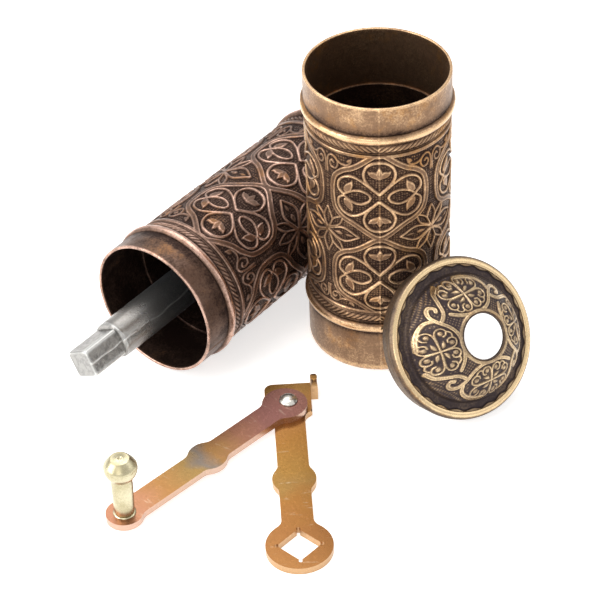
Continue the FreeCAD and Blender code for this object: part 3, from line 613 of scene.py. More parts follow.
def rope_height(x, beyond):
    """Height in the groove: two thin ridges with slanted rounds between them.

    A strand is |sin| of its slanted distance along the belt, and it fades at the belt's edges.
    """
    pitch = 2 * np.pi * NECK / ROPE_STRANDS
    strand = np.abs(np.sin(np.pi * (x - 1.35 * (beyond - 2.3)) / pitch)) ** 0.75
    across = np.clip(1 - np.abs((beyond - 2.4) / 1.4) ** 4, 0, 1)
    ridges = np.exp(-((beyond - 0.6) / 0.2) ** 2) + np.exp(-((beyond - 4.2) / 0.2) ** 2)
    return 0.54 * strand * across + 0.36 * ridges


print("rope strand every", round(2 * math.pi * NECK / ROPE_STRANDS, 2), "mm")


# %% Half a band
def ornament_band(name, axes, low, high, medallion, seam, half, stretch, body):
    """Half of a vessel's ornament: a front of fine quads, a plain back and four closed sides.

    A point's radius is the ground plus the drawn height. The stretch maps the height above the
    band's middle to the plate's, so that medallions keep their proportions on both vessels.
    """
    rows, columns = BAND_ROWS, BAND_COLUMNS
    middle = (low + high) / 2
    bearing = seam + half * np.pi + np.linspace(0, np.pi, columns)
    height = np.linspace(low, high, rows)
    across = np.angle(np.exp(4j * (bearing - medallion))) / 4 * MEDALLION_ROUND
    along = np.abs(np.interp(height - middle, *stretch))
    x = np.abs(across)[None, :] + 0 * along[:, None]
    y = along[:, None] + 0 * x
    beyond = (np.abs(height - middle) - (high - low) / 2 + ROPE_TALL)[:, None]
    relief, edge = vessel_plate.sample(x, np.minimum(y, CELL_HEIGHT))
    swell = 1 + 0.12 * np.sin(7.3 * bearing + 0.11 * height[:, None])
    belt = bearing[None, :] * NECK * np.sign(np.sin(bearing - seam + 1e-9))[None, :]
    rope = rope_height(belt + 0 * y, beyond)
    in_rope = beyond + 0 * y > 0
    relief = np.where(in_rope, rope, relief) / DRAWN_FULL
    edge = np.where(in_rope, 0.0, edge)
    ridge = seam_ridge(bearing, seam)
    radius = FIELD_GROUND + RELIEF_TALL * relief * swell + 0.12 * ridge
    radius = np.minimum(radius, NECK - 0.02)
    front = axes.place(radius, bearing[None, :] + 0 * y, height[:, None] + 0 * y)
    ends = axes.place(np.full((2, columns), BAND_BACK), np.tile(bearing, (2, 1)),
                      np.array([[low], [high]]) + np.zeros((2, columns)))
    points = np.vstack([front.reshape(-1, 3), ends.reshape(-1, 3)])
    count = rows * columns
    c = np.arange(columns - 1)
    r = np.arange(rows)
    top = (rows - 1) * columns
    under, over = count, count + columns
    faces = [grid_faces(rows, columns),
             np.stack([under + c, over + c, over + c + 1, under + c + 1], -1),
             np.stack([c, under + c, under + c + 1, c + 1], -1),
             np.stack([top + c, top + c + 1, over + c + 1, over + c], -1),
             np.concatenate([r * columns, [over, under]]),
             np.concatenate([r[::-1] * columns + columns - 1, [under + columns - 1,
                                                              over + columns - 1]])]
    pad = np.zeros(2 * columns)
    # Raised strokes are brighter, as rubbed metal. The bright line along each stroke's edge is
    # partly wear and partly painted highlight, and the dark ring just outside each stroke is
    # partly patina and partly painted shade at its foot.
    flat = np.clip((-edge - 0.4) / 0.4, 0, 1)
    wear_and_highlight_edge = np.exp(-((edge + 0.3) / 0.2) ** 2)
    patina_and_shade_outline = np.exp(-(edge / 0.28) ** 2) * (edge > 0)
    tone = (0.12 + 0.6 * np.clip(relief, 0, 1.1) ** 1.5 - 0.17 * flat + 0.16 * wear_and_highlight_edge
            - 0.12 * patina_and_shade_outline + 0.3 * ridge)
    values = {"tone": np.append(np.clip(tone, 0, 1), pad),
              "ground": np.append(np.clip(edge, 0, 2), pad)}
    belt_uv = np.stack([x.ravel(), y.ravel()], -1)
    uv = np.vstack([belt_uv, np.zeros((2 * columns, 2))])
    make_piece(name, points, faces, body, values=values, uv=uv, sharp=70)


# %% Both vessels' bands
BAND_LOW, CUP_BAND_TOP, HOPPER_BAND_TOP = 21.85, 97.05, 106.25
HOPPER_MEDALLION = math.radians(-18.6)
CUP_STRETCH = ([-33.0, -26.1, -1.1, 23.9, 33.0], [-33.0, -25.0, 0, 25.0, 33.0])
HOPPER_STRETCH = ([-37.6, -25.0, -16.6, -8.4, 1.6, 11.6, 19.8, 28.0, 37.6],
                  [-33.0, -25.6, -16.8, -8.0, 0, 8.0, 16.8, 25.6, 33.0])
for half in (0, 1):
    ornament_band(f"cup_ornament_{half + 1}", CUP_AXES, BAND_LOW, CUP_BAND_TOP, CUP_SEAM,
                  CUP_SEAM, half, CUP_STRETCH, "cup")
    ornament_band(f"hopper_ornament_{half + 1}", HOPPER_AXES, BAND_LOW, HOPPER_BAND_TOP,
                  HOPPER_MEDALLION, HOPPER_SEAM, half, HOPPER_STRETCH, "hopper")

# %% [markdown]
# ## The lid's ornament
# The dome carries four leaf cartouches tied together by a running band. Each stroke is drawn
# four times, a quarter turn apart, on one flat plate that is seen along the lid's axis. Small
# raised pearls fill the ground between them.

# %% The lid's plate
QUARTERS = [(1, 0), (0, 1), (-1, 0), (0, -1)]
PALMETTE_AT = (-15.4, 0.8)
LID_REACH, LID_PITCH = 24, 0.07


def quarter_turns(points):
    """The same stroke at four quarter turns about the lid's axis."""
    return [[(x * cosine - y * sine, x * sine + y * cosine, w) for x, y, w in points]
            for cosine, sine in QUARTERS]


def draw_lid():
    """Bands, then each cartouche's cross, curls, leaves and berries."""
    plate = Plate((-LID_REACH, -LID_REACH), (LID_REACH, LID_REACH), LID_PITCH)
    bands = [
        [(-10.8, 13.5), (-10.6, 14.5), (-11.7, 15.2), (-13.0, 14.3), (-13.4, 12.3), (-12.2, 10.0),
         (-9.9, 7.3), (-8.7, 4.4), (-8.5, 1.0), (-8.9, -2.2), (-9.8, -5.2), (-11.2, -7.7)],
        [(-13.4, 11.0), (-15.8, 11.0), (-18.2, 9.1), (-19.8, 6.3), (-20.6, 3.0)],
        [(-20.3, -5.4), (-18.4, -7.6), (-15.4, -8.6), (-12.6, -9.2), (-10.9, -10.3),
         (-10.0, -11.2)],
    ]
    for band in bands:
        for points in quarter_turns(widths(band, 0.68)):
            plate.stroke(points, 0.5, bevel=0.32, dish=0.12)
    u0, v0 = PALMETTE_AT
    for a in (-1, 1):
        for b in (-1, 1):
            strokes = [
                widths([(0.2, 0), (2.2, 0.1), (4.0, 0.3), (5.2, 1.2), (5.3, 2.7), (4.3, 3.5),
                        (3.1, 3.2), (2.8, 2.3)], 0.36),
                widths([(0, 0.2), (0.1, 3.2), (0.3, 5.7), (1.2, 7.1), (2.7, 7.2), (3.6, 6.1),
                        (3.2, 4.9), (2.3, 4.5)], 0.36),
                widths([(4.7, 3.6), (4.9, 4.6), (4.3, 5.5), (3.7, 5.8)], 0.34),
                [(0.7, 0.8, 0.12), (1.4, 1.8, 0.66), (1.8, 3.3, 0.1)],
                [(3.9, 1.8, 0.85), (4.0, 1.8, 0.85)],
                [(1.9, 5.7, 0.85), (1.9, 5.8, 0.85)],
            ]
            for stroke in strokes:
                placed = [(u0 + a * u, v0 + b * v, w) for u, v, w in stroke]
                for points in quarter_turns(placed):
                    plate.stroke(points, 0.48)
    return plate


lid_plate = draw_lid()
print("lid plate:", lid_plate.height.shape, "spots")

# %% [markdown]
# ## The lid
# The lid is one closed ring of a profile: skirt, rolled rim, engraved land, smooth moat, dome,
# collar and the hollow inside. Only the dome reads the plate. The land's inner edge waves in and
# out, so its height is a step whose radius swings with the bearing.

# %% The lid's profile
LID_AROUND = 680
RIM_WAVES = 26
RIM_CENTRE = 26.02
DOME_SPHERE, DOME_CENTRE, HOLLOW_SPHERE = 23.5, -6.05, 22.2
DOME_FOOT, DOME_TOP, DOME_ROWS = 21.6, 9.5, 80
PLAIN, LAND, DOME, RIM = 0, 1, 2, 3


def on_sphere(sphere, radii):
    """Profile points where a sphere about the dome's centre has these radii."""
    return radii, DOME_CENTRE + np.sqrt(sphere ** 2 - radii ** 2)


def lid_profile():
    """Columns of radius, height, tone and kind, from the skirt over the dome to the hollow."""
    rim_turn = np.radians(np.linspace(-95, 118, 22))
    rim_radius = RIM_CENTRE + 1.86 * np.cos(rim_turn)
    rim_height = -0.02 + 1.90 * np.sin(rim_turn)
    land = np.linspace(25.1, 23.6, 16)
    moat = np.array([23.3, 22.9, 22.5, 22.2, 21.9, 21.75])
    dome = DOME_SPHERE * np.sin(np.linspace(math.asin(DOME_FOOT / DOME_SPHERE),
                                            math.asin(DOME_TOP / DOME_SPHERE), DOME_ROWS))
    dome_radius, dome_height = on_sphere(DOME_SPHERE, dome)
    hollow = np.linspace(7.75, 20.9, 8)
    hollow_radius, hollow_height = on_sphere(HOLLOW_SPHERE, hollow)
    parts = [
        (np.array([25.35, 25.5, 26.15, 26.3, 26.3]), np.array([-6.9, -7.0, -7.0, -6.9, -2.6]),
         0.4, PLAIN),
        (rim_radius, rim_height, 0.78, RIM),
        (land, 1.45 + 0 * land, 0.6, LAND),
        (moat, np.array([1.14, 1.1, 1.2, 1.45, 2.0, 2.6]), 0.12, PLAIN),
        (dome_radius, dome_height, 0.2, DOME),
        (np.array([9.35, 9.15, 8.85, 8.5]), np.array([15.5, 15.82, 15.95, 15.9]), 0.7, PLAIN),
        (np.array([8.3, 8.1, 7.85, 7.75]), np.array([15.68, 15.84, 15.84, 15.6]), 0.2, PLAIN),
        (hollow_radius, hollow_height, 0.1, PLAIN),
        (np.array([20.9, 25.35]), np.array([-0.3, -0.3]), 0.1, PLAIN),
    ]
    return [np.concatenate([part[column] + 0 * part[0] for part in parts])[:, None]
            for column in range(4)]


print("lid profile:", len(lid_profile()[0]), "rows")


# %% The lid's grid
def make_lid():
    """The profile round the axis, raised along its normal by the plate, pearls and wave."""
    radius, height, tone, kind = lid_profile()
    bearing = (np.arange(LID_AROUND) / LID_AROUND * 2 * np.pi)[None, :]
    spread = 0 * bearing + 0 * radius
    x, y = radius * np.cos(bearing), radius * np.sin(bearing)
    relief, edge = lid_plate.sample(x, y)
    pearls = np.abs(np.sin(np.pi * (x + y) / 1.25) * np.sin(np.pi * (x - y) / 1.25))
    pearls = pearls * np.clip((edge - 0.25) / 0.3, 0, 1)
    in_cartouche = np.zeros_like(x)
    for cosine, sine in QUARTERS:
        u = x * cosine + y * sine - PALMETTE_AT[0]
        v = -x * sine + y * cosine - PALMETTE_AT[1]
        in_cartouche = np.maximum(in_cartouche, ((u / 5.9) ** 2 + (v / 8.3) ** 2 < 1) * 1.0)
    pearls = pearls * (1 - in_cartouche)
    on_dome = kind == DOME
    outward = np.where(on_dome, radius / DOME_SPHERE, 0)
    upward = np.where(on_dome, (height - DOME_CENTRE) / DOME_SPHERE, 1)
    fade = np.clip((21.4 - radius) / 0.3, 0, 1) * np.clip((radius - 9.6) / 0.3, 0, 1)
    rise = np.where(on_dome, fade * (-0.42 + relief + 0.16 * pearls), 0)
    swing = 24.6 + 0.32 * np.cos(RIM_WAVES * bearing + 0.6 * np.sin(5 * bearing))
    step = np.clip((radius - swing) / 0.3 + 0.5, 0, 1)
    groove = np.exp(-((radius - swing + 0.25) / 0.24) ** 2)
    rise = np.where(kind == LAND, 0.32 * (step - 1) - 0.14 * groove, rise)
    points = LID_AXES.place(radius + outward * rise, bearing + spread, height + upward * rise)
    flat = np.clip((-edge - 0.35) / 0.3, 0, 1)
    lit = np.where(on_dome, np.maximum(0.8 * relief / 0.5 - 0.1 * flat, 0.5 * pearls ** 2) + 0.08,
                   tone)
    lit = np.where(kind == LAND, 0.12 + 0.5 * step - 0.3 * groove, lit)
    # The rolled rim is painted bright over its top and dark down its outer side: painted highlight
    # and painted shade.
    turn = np.arctan2(height, radius - RIM_CENTRE)
    lit = np.where(kind == RIM, 0.3 + 0.7 * np.clip((turn - 0.7) / 0.4, 0, 1), lit)
    values = {"tone": np.clip(lit + spread, 0, 1), "ground": spread}
    faces = [grid_faces(len(radius), LID_AROUND, wrap_rows=True, wrap_columns=True)]
    make_piece("lid_casting", points.reshape(-1, 3), faces, "lid", ["dome_lid"],
               values, sharp=70)


make_lid()

# %% [markdown]
# ## Finishes
# Antique brass is cast, blackened and then rubbed. Its hollows stay brown-black and its high
# places show bare metal, and stains and fine grain break up both. Several pieces share this
# effect, so it is one node group, and each piece gives it its own three colours.

# %% Node helpers
def calculate(tree, operation, first, second=0.0, clamp=False):
    """The output of a Math node."""
    made = add_node(tree, "ShaderNodeMath", {0: first, 1: second}, operation=operation,
                    use_clamp=clamp)
    return made.outputs[0]


def swing_about_nought(tree, value, amount):
    """A value from nought to one, less a half, times an amount."""
    return calculate(tree, "MULTIPLY", calculate(tree, "SUBTRACT", value, 0.5), amount)


def blend_colours(tree, share, first, second):
    """The output of a colour mix from the first to the second."""
    made = add_node(tree, "ShaderNodeMix", {0: share, 6: first, 7: second}, data_type="RGBA")
    return made.outputs[2]


def remap(tree, value, low, high, to_low=0.0, to_high=1.0, smooth=True):
    """A value carried from one range to another, with soft ends."""
    kind = "SMOOTHSTEP" if smooth else "LINEAR"
    made = add_node(tree, "ShaderNodeMapRange",
                    {"Value": value, "From Min": low, "From Max": high, "To Min": to_low,
                     "To Max": to_high}, interpolation_type=kind)
    return made.outputs[0]


def noise(tree, place, scale, detail=3.0, roughness=0.55):
    """The value of a noise texture."""
    made = add_node(tree, "ShaderNodeTexNoise",
                    {"Vector": place, "Scale": scale, "Detail": detail, "Roughness": roughness})
    return made.outputs["Fac"]


# %% Bumps, attributes and the finished metal
def bumped(tree, height, strength, distance, **inputs):
    """A normal bent by a height. The distance is how deep it looks, in mm."""
    made = add_node(tree, "ShaderNodeBump", {"Height": height, "Strength": strength,
                                             "Distance": distance * MM, **inputs})
    return made.outputs[0]


def attribute(tree, name):
    """The value that a piece's points carry under a name."""
    return add_node(tree, "ShaderNodeAttribute", attribute_name=name).outputs["Fac"]


def finish_metal(material, tree, colour, metallic, rough, normal):
    """Joins a Principled metal to the material's output."""
    shader = add_node(tree, "ShaderNodeBsdfPrincipled",
                      {"Base Color": colour, "Metallic": metallic, "Roughness": rough,
                       "Normal": normal})
    add_node(tree, "ShaderNodeOutputMaterial", {"Surface": shader.outputs[0]})
    print("finish:", material.name, "with", len(tree.nodes), "nodes")
    return material


# %% Starting a node group
def start_group(name, inputs, outputs):
    """A new node group with named sockets, and its input and output nodes."""
    group = bpy.data.node_groups.new(name, "ShaderNodeTree")
    for label, kind, value in inputs:
        socket = group.interface.new_socket(label, in_out="INPUT", socket_type=kind)
        if value is not None:
            socket.default_value = value
    for label, kind in outputs:
        group.interface.new_socket(label, in_out="OUTPUT", socket_type=kind)
    return group, group.nodes.new("NodeGroupInput"), group.nodes.new("NodeGroupOutput")


# %% The patina group
def make_patina():
    """Tone plus stain and grain picks a colour: recess, then metal, then bright.

    Hollows and painted shade take the recess colour, bare metal and painted highlights the bright.
    """
    group, given, put = start_group(
        "patina",
        [("Place", "NodeSocketVector", None), ("Tone", "NodeSocketFloat", 0.5),
         ("Recess", "NodeSocketColor", (0.02, 0.01, 0.005, 1)),
         ("Metal", "NodeSocketColor", (0.3, 0.2, 0.1, 1)),
         ("Bright", "NodeSocketColor", (0.7, 0.5, 0.3, 1)),
         ("Warm", "NodeSocketColor", (0.4, 0.2, 0.07, 1)),
         ("Stain", "NodeSocketFloat", 0.3), ("Grain", "NodeSocketFloat", 0.3)],
        [("Color", "NodeSocketColor"), ("Roughness", "NodeSocketFloat"),
         ("Height", "NodeSocketFloat")])
    place = given.outputs["Place"]
    stain = noise(group, place, 110.0, 6.0, 0.68)
    rust = noise(group, place, 62.0, 5.0, 0.7)
    grain = noise(group, place, 1500.0, 4.0, 0.7)
    speck = noise(group, place, 780.0, 2.0, 0.5)
    stained = swing_about_nought(group, stain, given.outputs["Stain"])
    grained = swing_about_nought(group, grain, given.outputs["Grain"])
    tone = calculate(group, "ADD", given.outputs["Tone"], stained)
    tone = calculate(group, "ADD", tone, grained)
    low = blend_colours(group, remap(group, tone, 0.0, 0.62), given.outputs["Recess"],
                        given.outputs["Metal"])
    warmth = calculate(group, "MULTIPLY", remap(group, rust, 0.5, 0.68),
                       remap(group, tone, 0.15, 0.6))
    low = blend_colours(group, calculate(group, "MULTIPLY", warmth, 0.7), low,
                        given.outputs["Warm"])
    colour = blend_colours(group, remap(group, tone, 0.55, 1.05), low, given.outputs["Bright"])
    shade = remap(group, tone, 0.0, 1.0, 0.62, 0.2, smooth=False)
    rough = calculate(group, "ADD", shade, swing_about_nought(group, speck, 0.25), clamp=True)
    height = calculate(group, "ADD", calculate(group, "MULTIPLY", grain, 0.5), speck)
    group.links.new(colour, put.inputs["Color"])
    group.links.new(rough, put.inputs["Roughness"])
    group.links.new(height, put.inputs["Height"])
    return group


patina = make_patina()
print("patina:", len(patina.nodes), "nodes")

# %% [markdown]
# ## The stippled ground
# Between the strokes the real ground is covered with small punched dots. They are too fine to be
# worth thousands of faces each, so a node group draws them on the plate's own map: Voronoi cells
# give a dome each, and the ground mask keeps them off the strokes.

# %% The stippled ground group
def make_stipple():
    """Small domes at random close places on the plate, shown where the ground mask says."""
    group, given, put = start_group(
        "stipple", [("Plate", "NodeSocketVector", None), ("Ground", "NodeSocketFloat", 0.0)],
        [("Height", "NodeSocketFloat"), ("Tone", "NodeSocketFloat")])
    cells = add_node(group, "ShaderNodeTexVoronoi",
                     {"Vector": given.outputs["Plate"], "Scale": 1.05, "Randomness": 0.3})
    dome = remap(group, cells.outputs["Distance"], 0.16, 0.46, 1.0, 0.0)
    mask = remap(group, given.outputs["Ground"], 0.22, 0.4)
    shown = calculate(group, "MULTIPLY", dome, mask)
    group.links.new(shown, put.inputs["Height"])
    group.links.new(calculate(group, "MULTIPLY", shown, 0.3), put.inputs["Tone"])
    return group


stipple = make_stipple()
print("stipple:", len(stipple.nodes), "nodes")

# %% [markdown]
# ## Three castings, three colours
# The cup is a warm yellow brass, the hopper is redder and duller, and the lid is olive. All three
# are the same material with other colours: for the recess and painted shade, the metal, the rubbed
# places and painted highlights, and the warm stains.

# %% Antique metal
def antique_metal(name, recess, metal, bright, warm, stain=0.75, grain=0.7, stippled=False):
    """A Principled metal whose colour, gloss and fine bumps come from the groups."""
    material, tree = new_material(name)
    place = add_node(tree, "ShaderNodeTexCoord").outputs["Object"]
    tone = attribute(tree, "tone")
    if stippled:
        plate = add_node(tree, "ShaderNodeUVMap", uv_map="plate").outputs[0]
        dots = add_node(tree, "ShaderNodeGroup",
                        {"Plate": plate, "Ground": attribute(tree, "ground")}, node_tree=stipple)
        tone = calculate(tree, "ADD", tone, dots.outputs["Tone"])
    skin = add_node(tree, "ShaderNodeGroup",
                    {"Place": place, "Tone": tone, "Recess": (*recess, 1), "Metal": (*metal, 1),
                     "Bright": (*bright, 1), "Warm": (*warm, 1), "Stain": stain, "Grain": grain},
                    node_tree=patina)
    normal = bumped(tree, skin.outputs["Height"], 0.35, 0.06)
    if stippled:
        normal = bumped(tree, dots.outputs["Height"], 0.9, 0.22, Normal=normal)
    return finish_metal(material, tree, skin.outputs["Color"], 0.9, skin.outputs["Roughness"],
                        normal)


def dress(names, material):
    """Gives a material to objects, whether they are new pieces or CAD nodes."""
    print(", ".join(names), "in", material.name)
    for name in names:
        materials = bpy.data.objects[name].data.materials
        if len(materials):
            for index in range(len(materials)):
                materials[index] = material
        else:
            materials.append(material)


# %% The castings' colours
BRASS = dict(recess=(0.030, 0.015, 0.011), metal=(0.23, 0.135, 0.078), bright=(0.76, 0.50, 0.28),
             warm=(0.42, 0.20, 0.055))
COPPER = dict(recess=(0.024, 0.012, 0.009), metal=(0.17, 0.104, 0.076), bright=(0.64, 0.41, 0.32),
              warm=(0.26, 0.115, 0.035))
OLIVE = dict(recess=(0.050, 0.037, 0.038), metal=(0.23, 0.16, 0.10), bright=(0.74, 0.55, 0.32),
             warm=(0.28, 0.15, 0.06))
dress(["cup_shell"], antique_metal("antique_brass_plain", **BRASS))
dress(["cup_ornament_1", "cup_ornament_2"],
      antique_metal("antique_brass_relief", stippled=True, **BRASS))
dress(["hopper_shell"], antique_metal("antique_copper_plain", stain=1.3, **COPPER))
dress(["hopper_ornament_1", "hopper_ornament_2"],
      antique_metal("antique_copper_relief", stippled=True, **COPPER))
dress(["lid_casting"], antique_metal("olive_brass", **OLIVE))

# %% [markdown]
# ## The mill's working metals
# The parts inside are plain turned, stamped or cast metal. One function gives them all a
# two-colour metal with fine grain, and each gets its own colours, grain size and gloss.

# %% Plain metals
def plain_metal(name, dark, light, grain, gloss, depth=0.04):
    """A metal that wanders between two colours, with grain of a given size and depth in mm."""
    material, tree = new_material(name)
    place = add_node(tree, "ShaderNodeTexCoord").outputs["Object"]
    wander = noise(tree, place, 120.0, 3.0)
    fine = noise(tree, place, 1000.0 / grain, 3.0)
    share = calculate(tree, "ADD", calculate(tree, "MULTIPLY", wander, 0.6),
                      calculate(tree, "MULTIPLY", fine, 0.4))
    colour = blend_colours(tree, remap(tree, share, 0.35, 0.65), (*dark, 1), (*light, 1))
    rough = remap(tree, share, 0.3, 0.7, gloss + 0.12, gloss, smooth=False)
    return finish_metal(material, tree, colour, 1.0, rough, bumped(tree, fine, 0.5, depth))


# %% The inner pieces' metals
bright_steel = plain_metal("bright_steel", (0.50, 0.48, 0.43), (0.74, 0.72, 0.66), 0.25, 0.22)
dress(["thrust_ball"], bright_steel)
dress(["mill_sleeve"],
      plain_metal("plated_tube", (0.42, 0.40, 0.37), (0.62, 0.60, 0.56), 0.5, 0.3))
dress(["outer_burr", "inner_burr"],
      plain_metal("burr_iron", (0.10, 0.10, 0.105), (0.19, 0.19, 0.195), 0.3, 0.42, 0.1))
dress(["shaft_guide"],
      plain_metal("guide_iron", (0.05, 0.045, 0.04), (0.13, 0.12, 0.11), 0.4, 0.5, 0.1))
dress(["bridge_bar", "bridge_screws", "lock_nut", "burr_spring", "spring_washer", "burr_pin"],
      plain_metal("plain_steel", (0.40, 0.40, 0.40), (0.62, 0.62, 0.61), 0.25, 0.28))
dress(["adjusting_screw"],
      plain_metal("adjuster_brass", (0.50, 0.36, 0.14), (0.75, 0.56, 0.26), 0.3, 0.28))

# %% [markdown]
# ## The shaft
# The shaft is a rough grey casting. It is painted near black deep in the hopper, as painted shade,
# and light at the square, where it is handled. The two halves of its mould left one thin line
# along it.

# %% The shaft's shape
SHAFT_RADIUS, SQUARE_HALF, SQUARE_FOOT, SHAFT_END = 7.0, 5.0, 140.3, 157.3
SHAFT_AROUND = 192
TIP_ROUND = 0.6
SHOULDER = 2.0
SQUARE_POWER, JOIN_POWER = 14, 22
SQUARE_ROLL = math.radians(28.6)
PARTING_AT = math.radians(-62)


def parting_line(height):
    """The bearing of the mould's line: two slow waves and one quick one along the shaft."""
    return PARTING_AT + 0.05 * np.sin(height / 4.1) + 0.03 * np.sin(height / 1.7 + 1)


def make_shaft():
    """Round, then square: the radius is the soft least of a circle's and a square's.

    The soft least of a and b is (a^-n + b^-n)^(-1/n), which rounds the edge where they meet. The
    square narrows in a quarter circle, so the round ends in a shoulder.
    """
    round_part = np.concatenate([np.linspace(17.0, 139.0, 100), np.linspace(139.2, 142.6, 30),
                                 np.linspace(143.0, SHAFT_END - TIP_ROUND, 24)])
    fall = np.radians(np.linspace(0, 90, 6))
    top = SHAFT_END - TIP_ROUND + TIP_ROUND * np.sin(fall[1:])
    inset = np.concatenate([np.zeros(round_part.size), TIP_ROUND * (1 - np.cos(fall[1:]))])
    height = np.concatenate([round_part, top])[:, None]
    bearing = (np.arange(SHAFT_AROUND) / SHAFT_AROUND * 2 * np.pi)[None, :]
    t = np.clip((height - SQUARE_FOOT) / SHOULDER, 0, 1)
    half = SQUARE_HALF + SHOULDER * np.sqrt(1 - t ** 2) + np.clip(SQUARE_FOOT - height, 0, 20)
    turned_back = bearing - SQUARE_ROLL
    square = half * (np.abs(np.cos(turned_back)) ** SQUARE_POWER
                     + np.abs(np.sin(turned_back)) ** SQUARE_POWER) ** (-1 / SQUARE_POWER)
    radius = (SHAFT_RADIUS ** -float(JOIN_POWER) + square ** -float(JOIN_POWER)) ** (
        -1 / JOIN_POWER)
    away = np.abs(np.angle(np.exp(1j * (bearing - parting_line(height))))) * radius
    line = np.exp(-(away / 0.22) ** 2)
    corner = np.clip((radius - 5.9) / 0.5, 0, 1) * (height > SQUARE_FOOT + 2.2)
    ring = np.exp(-((height - SQUARE_FOOT - 1.2) / 0.5) ** 2) + 0 * radius
    tip = np.clip((height - SHAFT_END + 0.9) / 0.5, 0, 1) + 0 * radius
    radius = radius + 0.14 * line - inset[:, None]
    ends = [(0.01, -1.2, 1), (1.6, -2.3, 1), (2.0, -2.6, 1), (4.8, -2.6, 1), (5.0, -2.4, 1),
            (5.0, 16.9, 1), (6.9, 17.0, 1)]
    low_radius = np.array([[end[0]] for end in ends]) + 0 * bearing
    low_height = np.array([[end[1]] for end in ends])
    cap = np.linspace(0.9, 0.02, 5)[:, None]
    radius = np.vstack([low_radius, radius, radius[-1:] * cap])
    tone = np.vstack([0 * low_radius, np.clip(0.8 * line + 0.75 * corner + 0.5 * ring + 0.5 * tip,
                                              0, 1), 0.25 + 0 * cap * bearing])
    height = np.vstack([low_height, height, np.full((5, 1), SHAFT_END)])
    points = HOPPER_AXES.place(radius, bearing + 0 * radius, height + 0 * radius)
    rows, around = radius.shape
    faces = [grid_faces(rows, around, wrap_columns=True), np.arange(around)[::-1],
             (rows - 1) * around + np.arange(around)]
    make_piece("shaft_casting", points.reshape(-1, 3), faces, "shaft",
               ["drive_shaft"], {"tone": tone}, sharp=60)


make_shaft()

# %% [markdown]
# ## The shaft's finish
# One material covers the whole shaft. It measures how far a point lies along the shaft, so the
# grey can lighten towards the square and stay near black inside the hopper, as painted shade. The
# mould's line and the bare edges come from the tone that the mesh carries.

# %% The shaft's finish
def along(tree, place, origin, direction):
    """How far a point lies from an origin along a direction, in mm."""
    offset = add_node(tree, "ShaderNodeVectorMath",
                      {0: place, 1: [value * MM for value in origin]}, operation="SUBTRACT")
    made = add_node(tree, "ShaderNodeVectorMath", {0: offset.outputs[0], 1: direction},
                    operation="DOT_PRODUCT")
    return calculate(tree, "MULTIPLY", made.outputs["Value"], 1000.0)


def shaft_metal():
    """Grey that lightens towards the square, mottled, with bare edges from the tone."""
    material, tree = new_material("shaft_iron")
    place = add_node(tree, "ShaderNodeTexCoord").outputs["Object"]
    reach = along(tree, place, HOPPER_AXES.origin, list(HOPPER_AXES.directions[2]))
    line = attribute(tree, "tone")
    fine = noise(tree, place, 2600.0, 4.0, 0.7)
    cloud = noise(tree, place, 140.0, 3.0)
    # Near black below 98 mm along the shaft, deep in the hopper: painted shade. It lightens
    # towards the square.
    lighter = remap(tree, reach, 98.0, 140.0)
    lighter = calculate(tree, "ADD", lighter, swing_about_nought(tree, cloud, 0.5), clamp=True)
    grey = blend_colours(tree, lighter, (0.088, 0.096, 0.106, 1), (0.29, 0.275, 0.255, 1))
    grey = blend_colours(tree, calculate(tree, "MULTIPLY", remap(tree, fine, 0.48, 0.72), 0.55),
                         grey, (0.40, 0.40, 0.40, 1))
    mottle = remap(tree, noise(tree, place, 620.0, 4.0, 0.7), 0.46, 0.6)
    mottle = calculate(tree, "MULTIPLY", mottle, remap(tree, reach, 138.0, 143.0, 0.0, 0.6))
    grey = blend_colours(tree, mottle, grey, (0.085, 0.083, 0.08, 1))
    grey = blend_colours(tree, line, grey, (0.60, 0.60, 0.58, 1))
    height = calculate(tree, "ADD", fine, calculate(tree, "MULTIPLY", line, 2.0))
    rough = remap(tree, lighter, 0.0, 1.0, 0.5, 0.22, smooth=False)
    return finish_metal(material, tree, grey, 0.9, rough, bumped(tree, height, 0.6, 0.1))


dress(["shaft_casting"], shaft_metal())

# %% [markdown]
# ## The crank
# The arms are stamped from steel plate. Their outline, the square eye and the stop tab come from
# the CAD nodes. A stamping has soft corners, so each node is copied, its loose triangles are
# merged into whole faces, the corners in view are rounded and a Bevel takes off the edges.

# %% Rounded edges on the stamped arms
PIVOT = (-33.4, -43.8, 0.0)
INNER_HEADING, OUTER_HEADING = -88.1, -135.8


def heading(degrees):
    """A level direction."""
    return [math.cos(math.radians(degrees)), math.sin(math.radians(degrees)), 0.0]


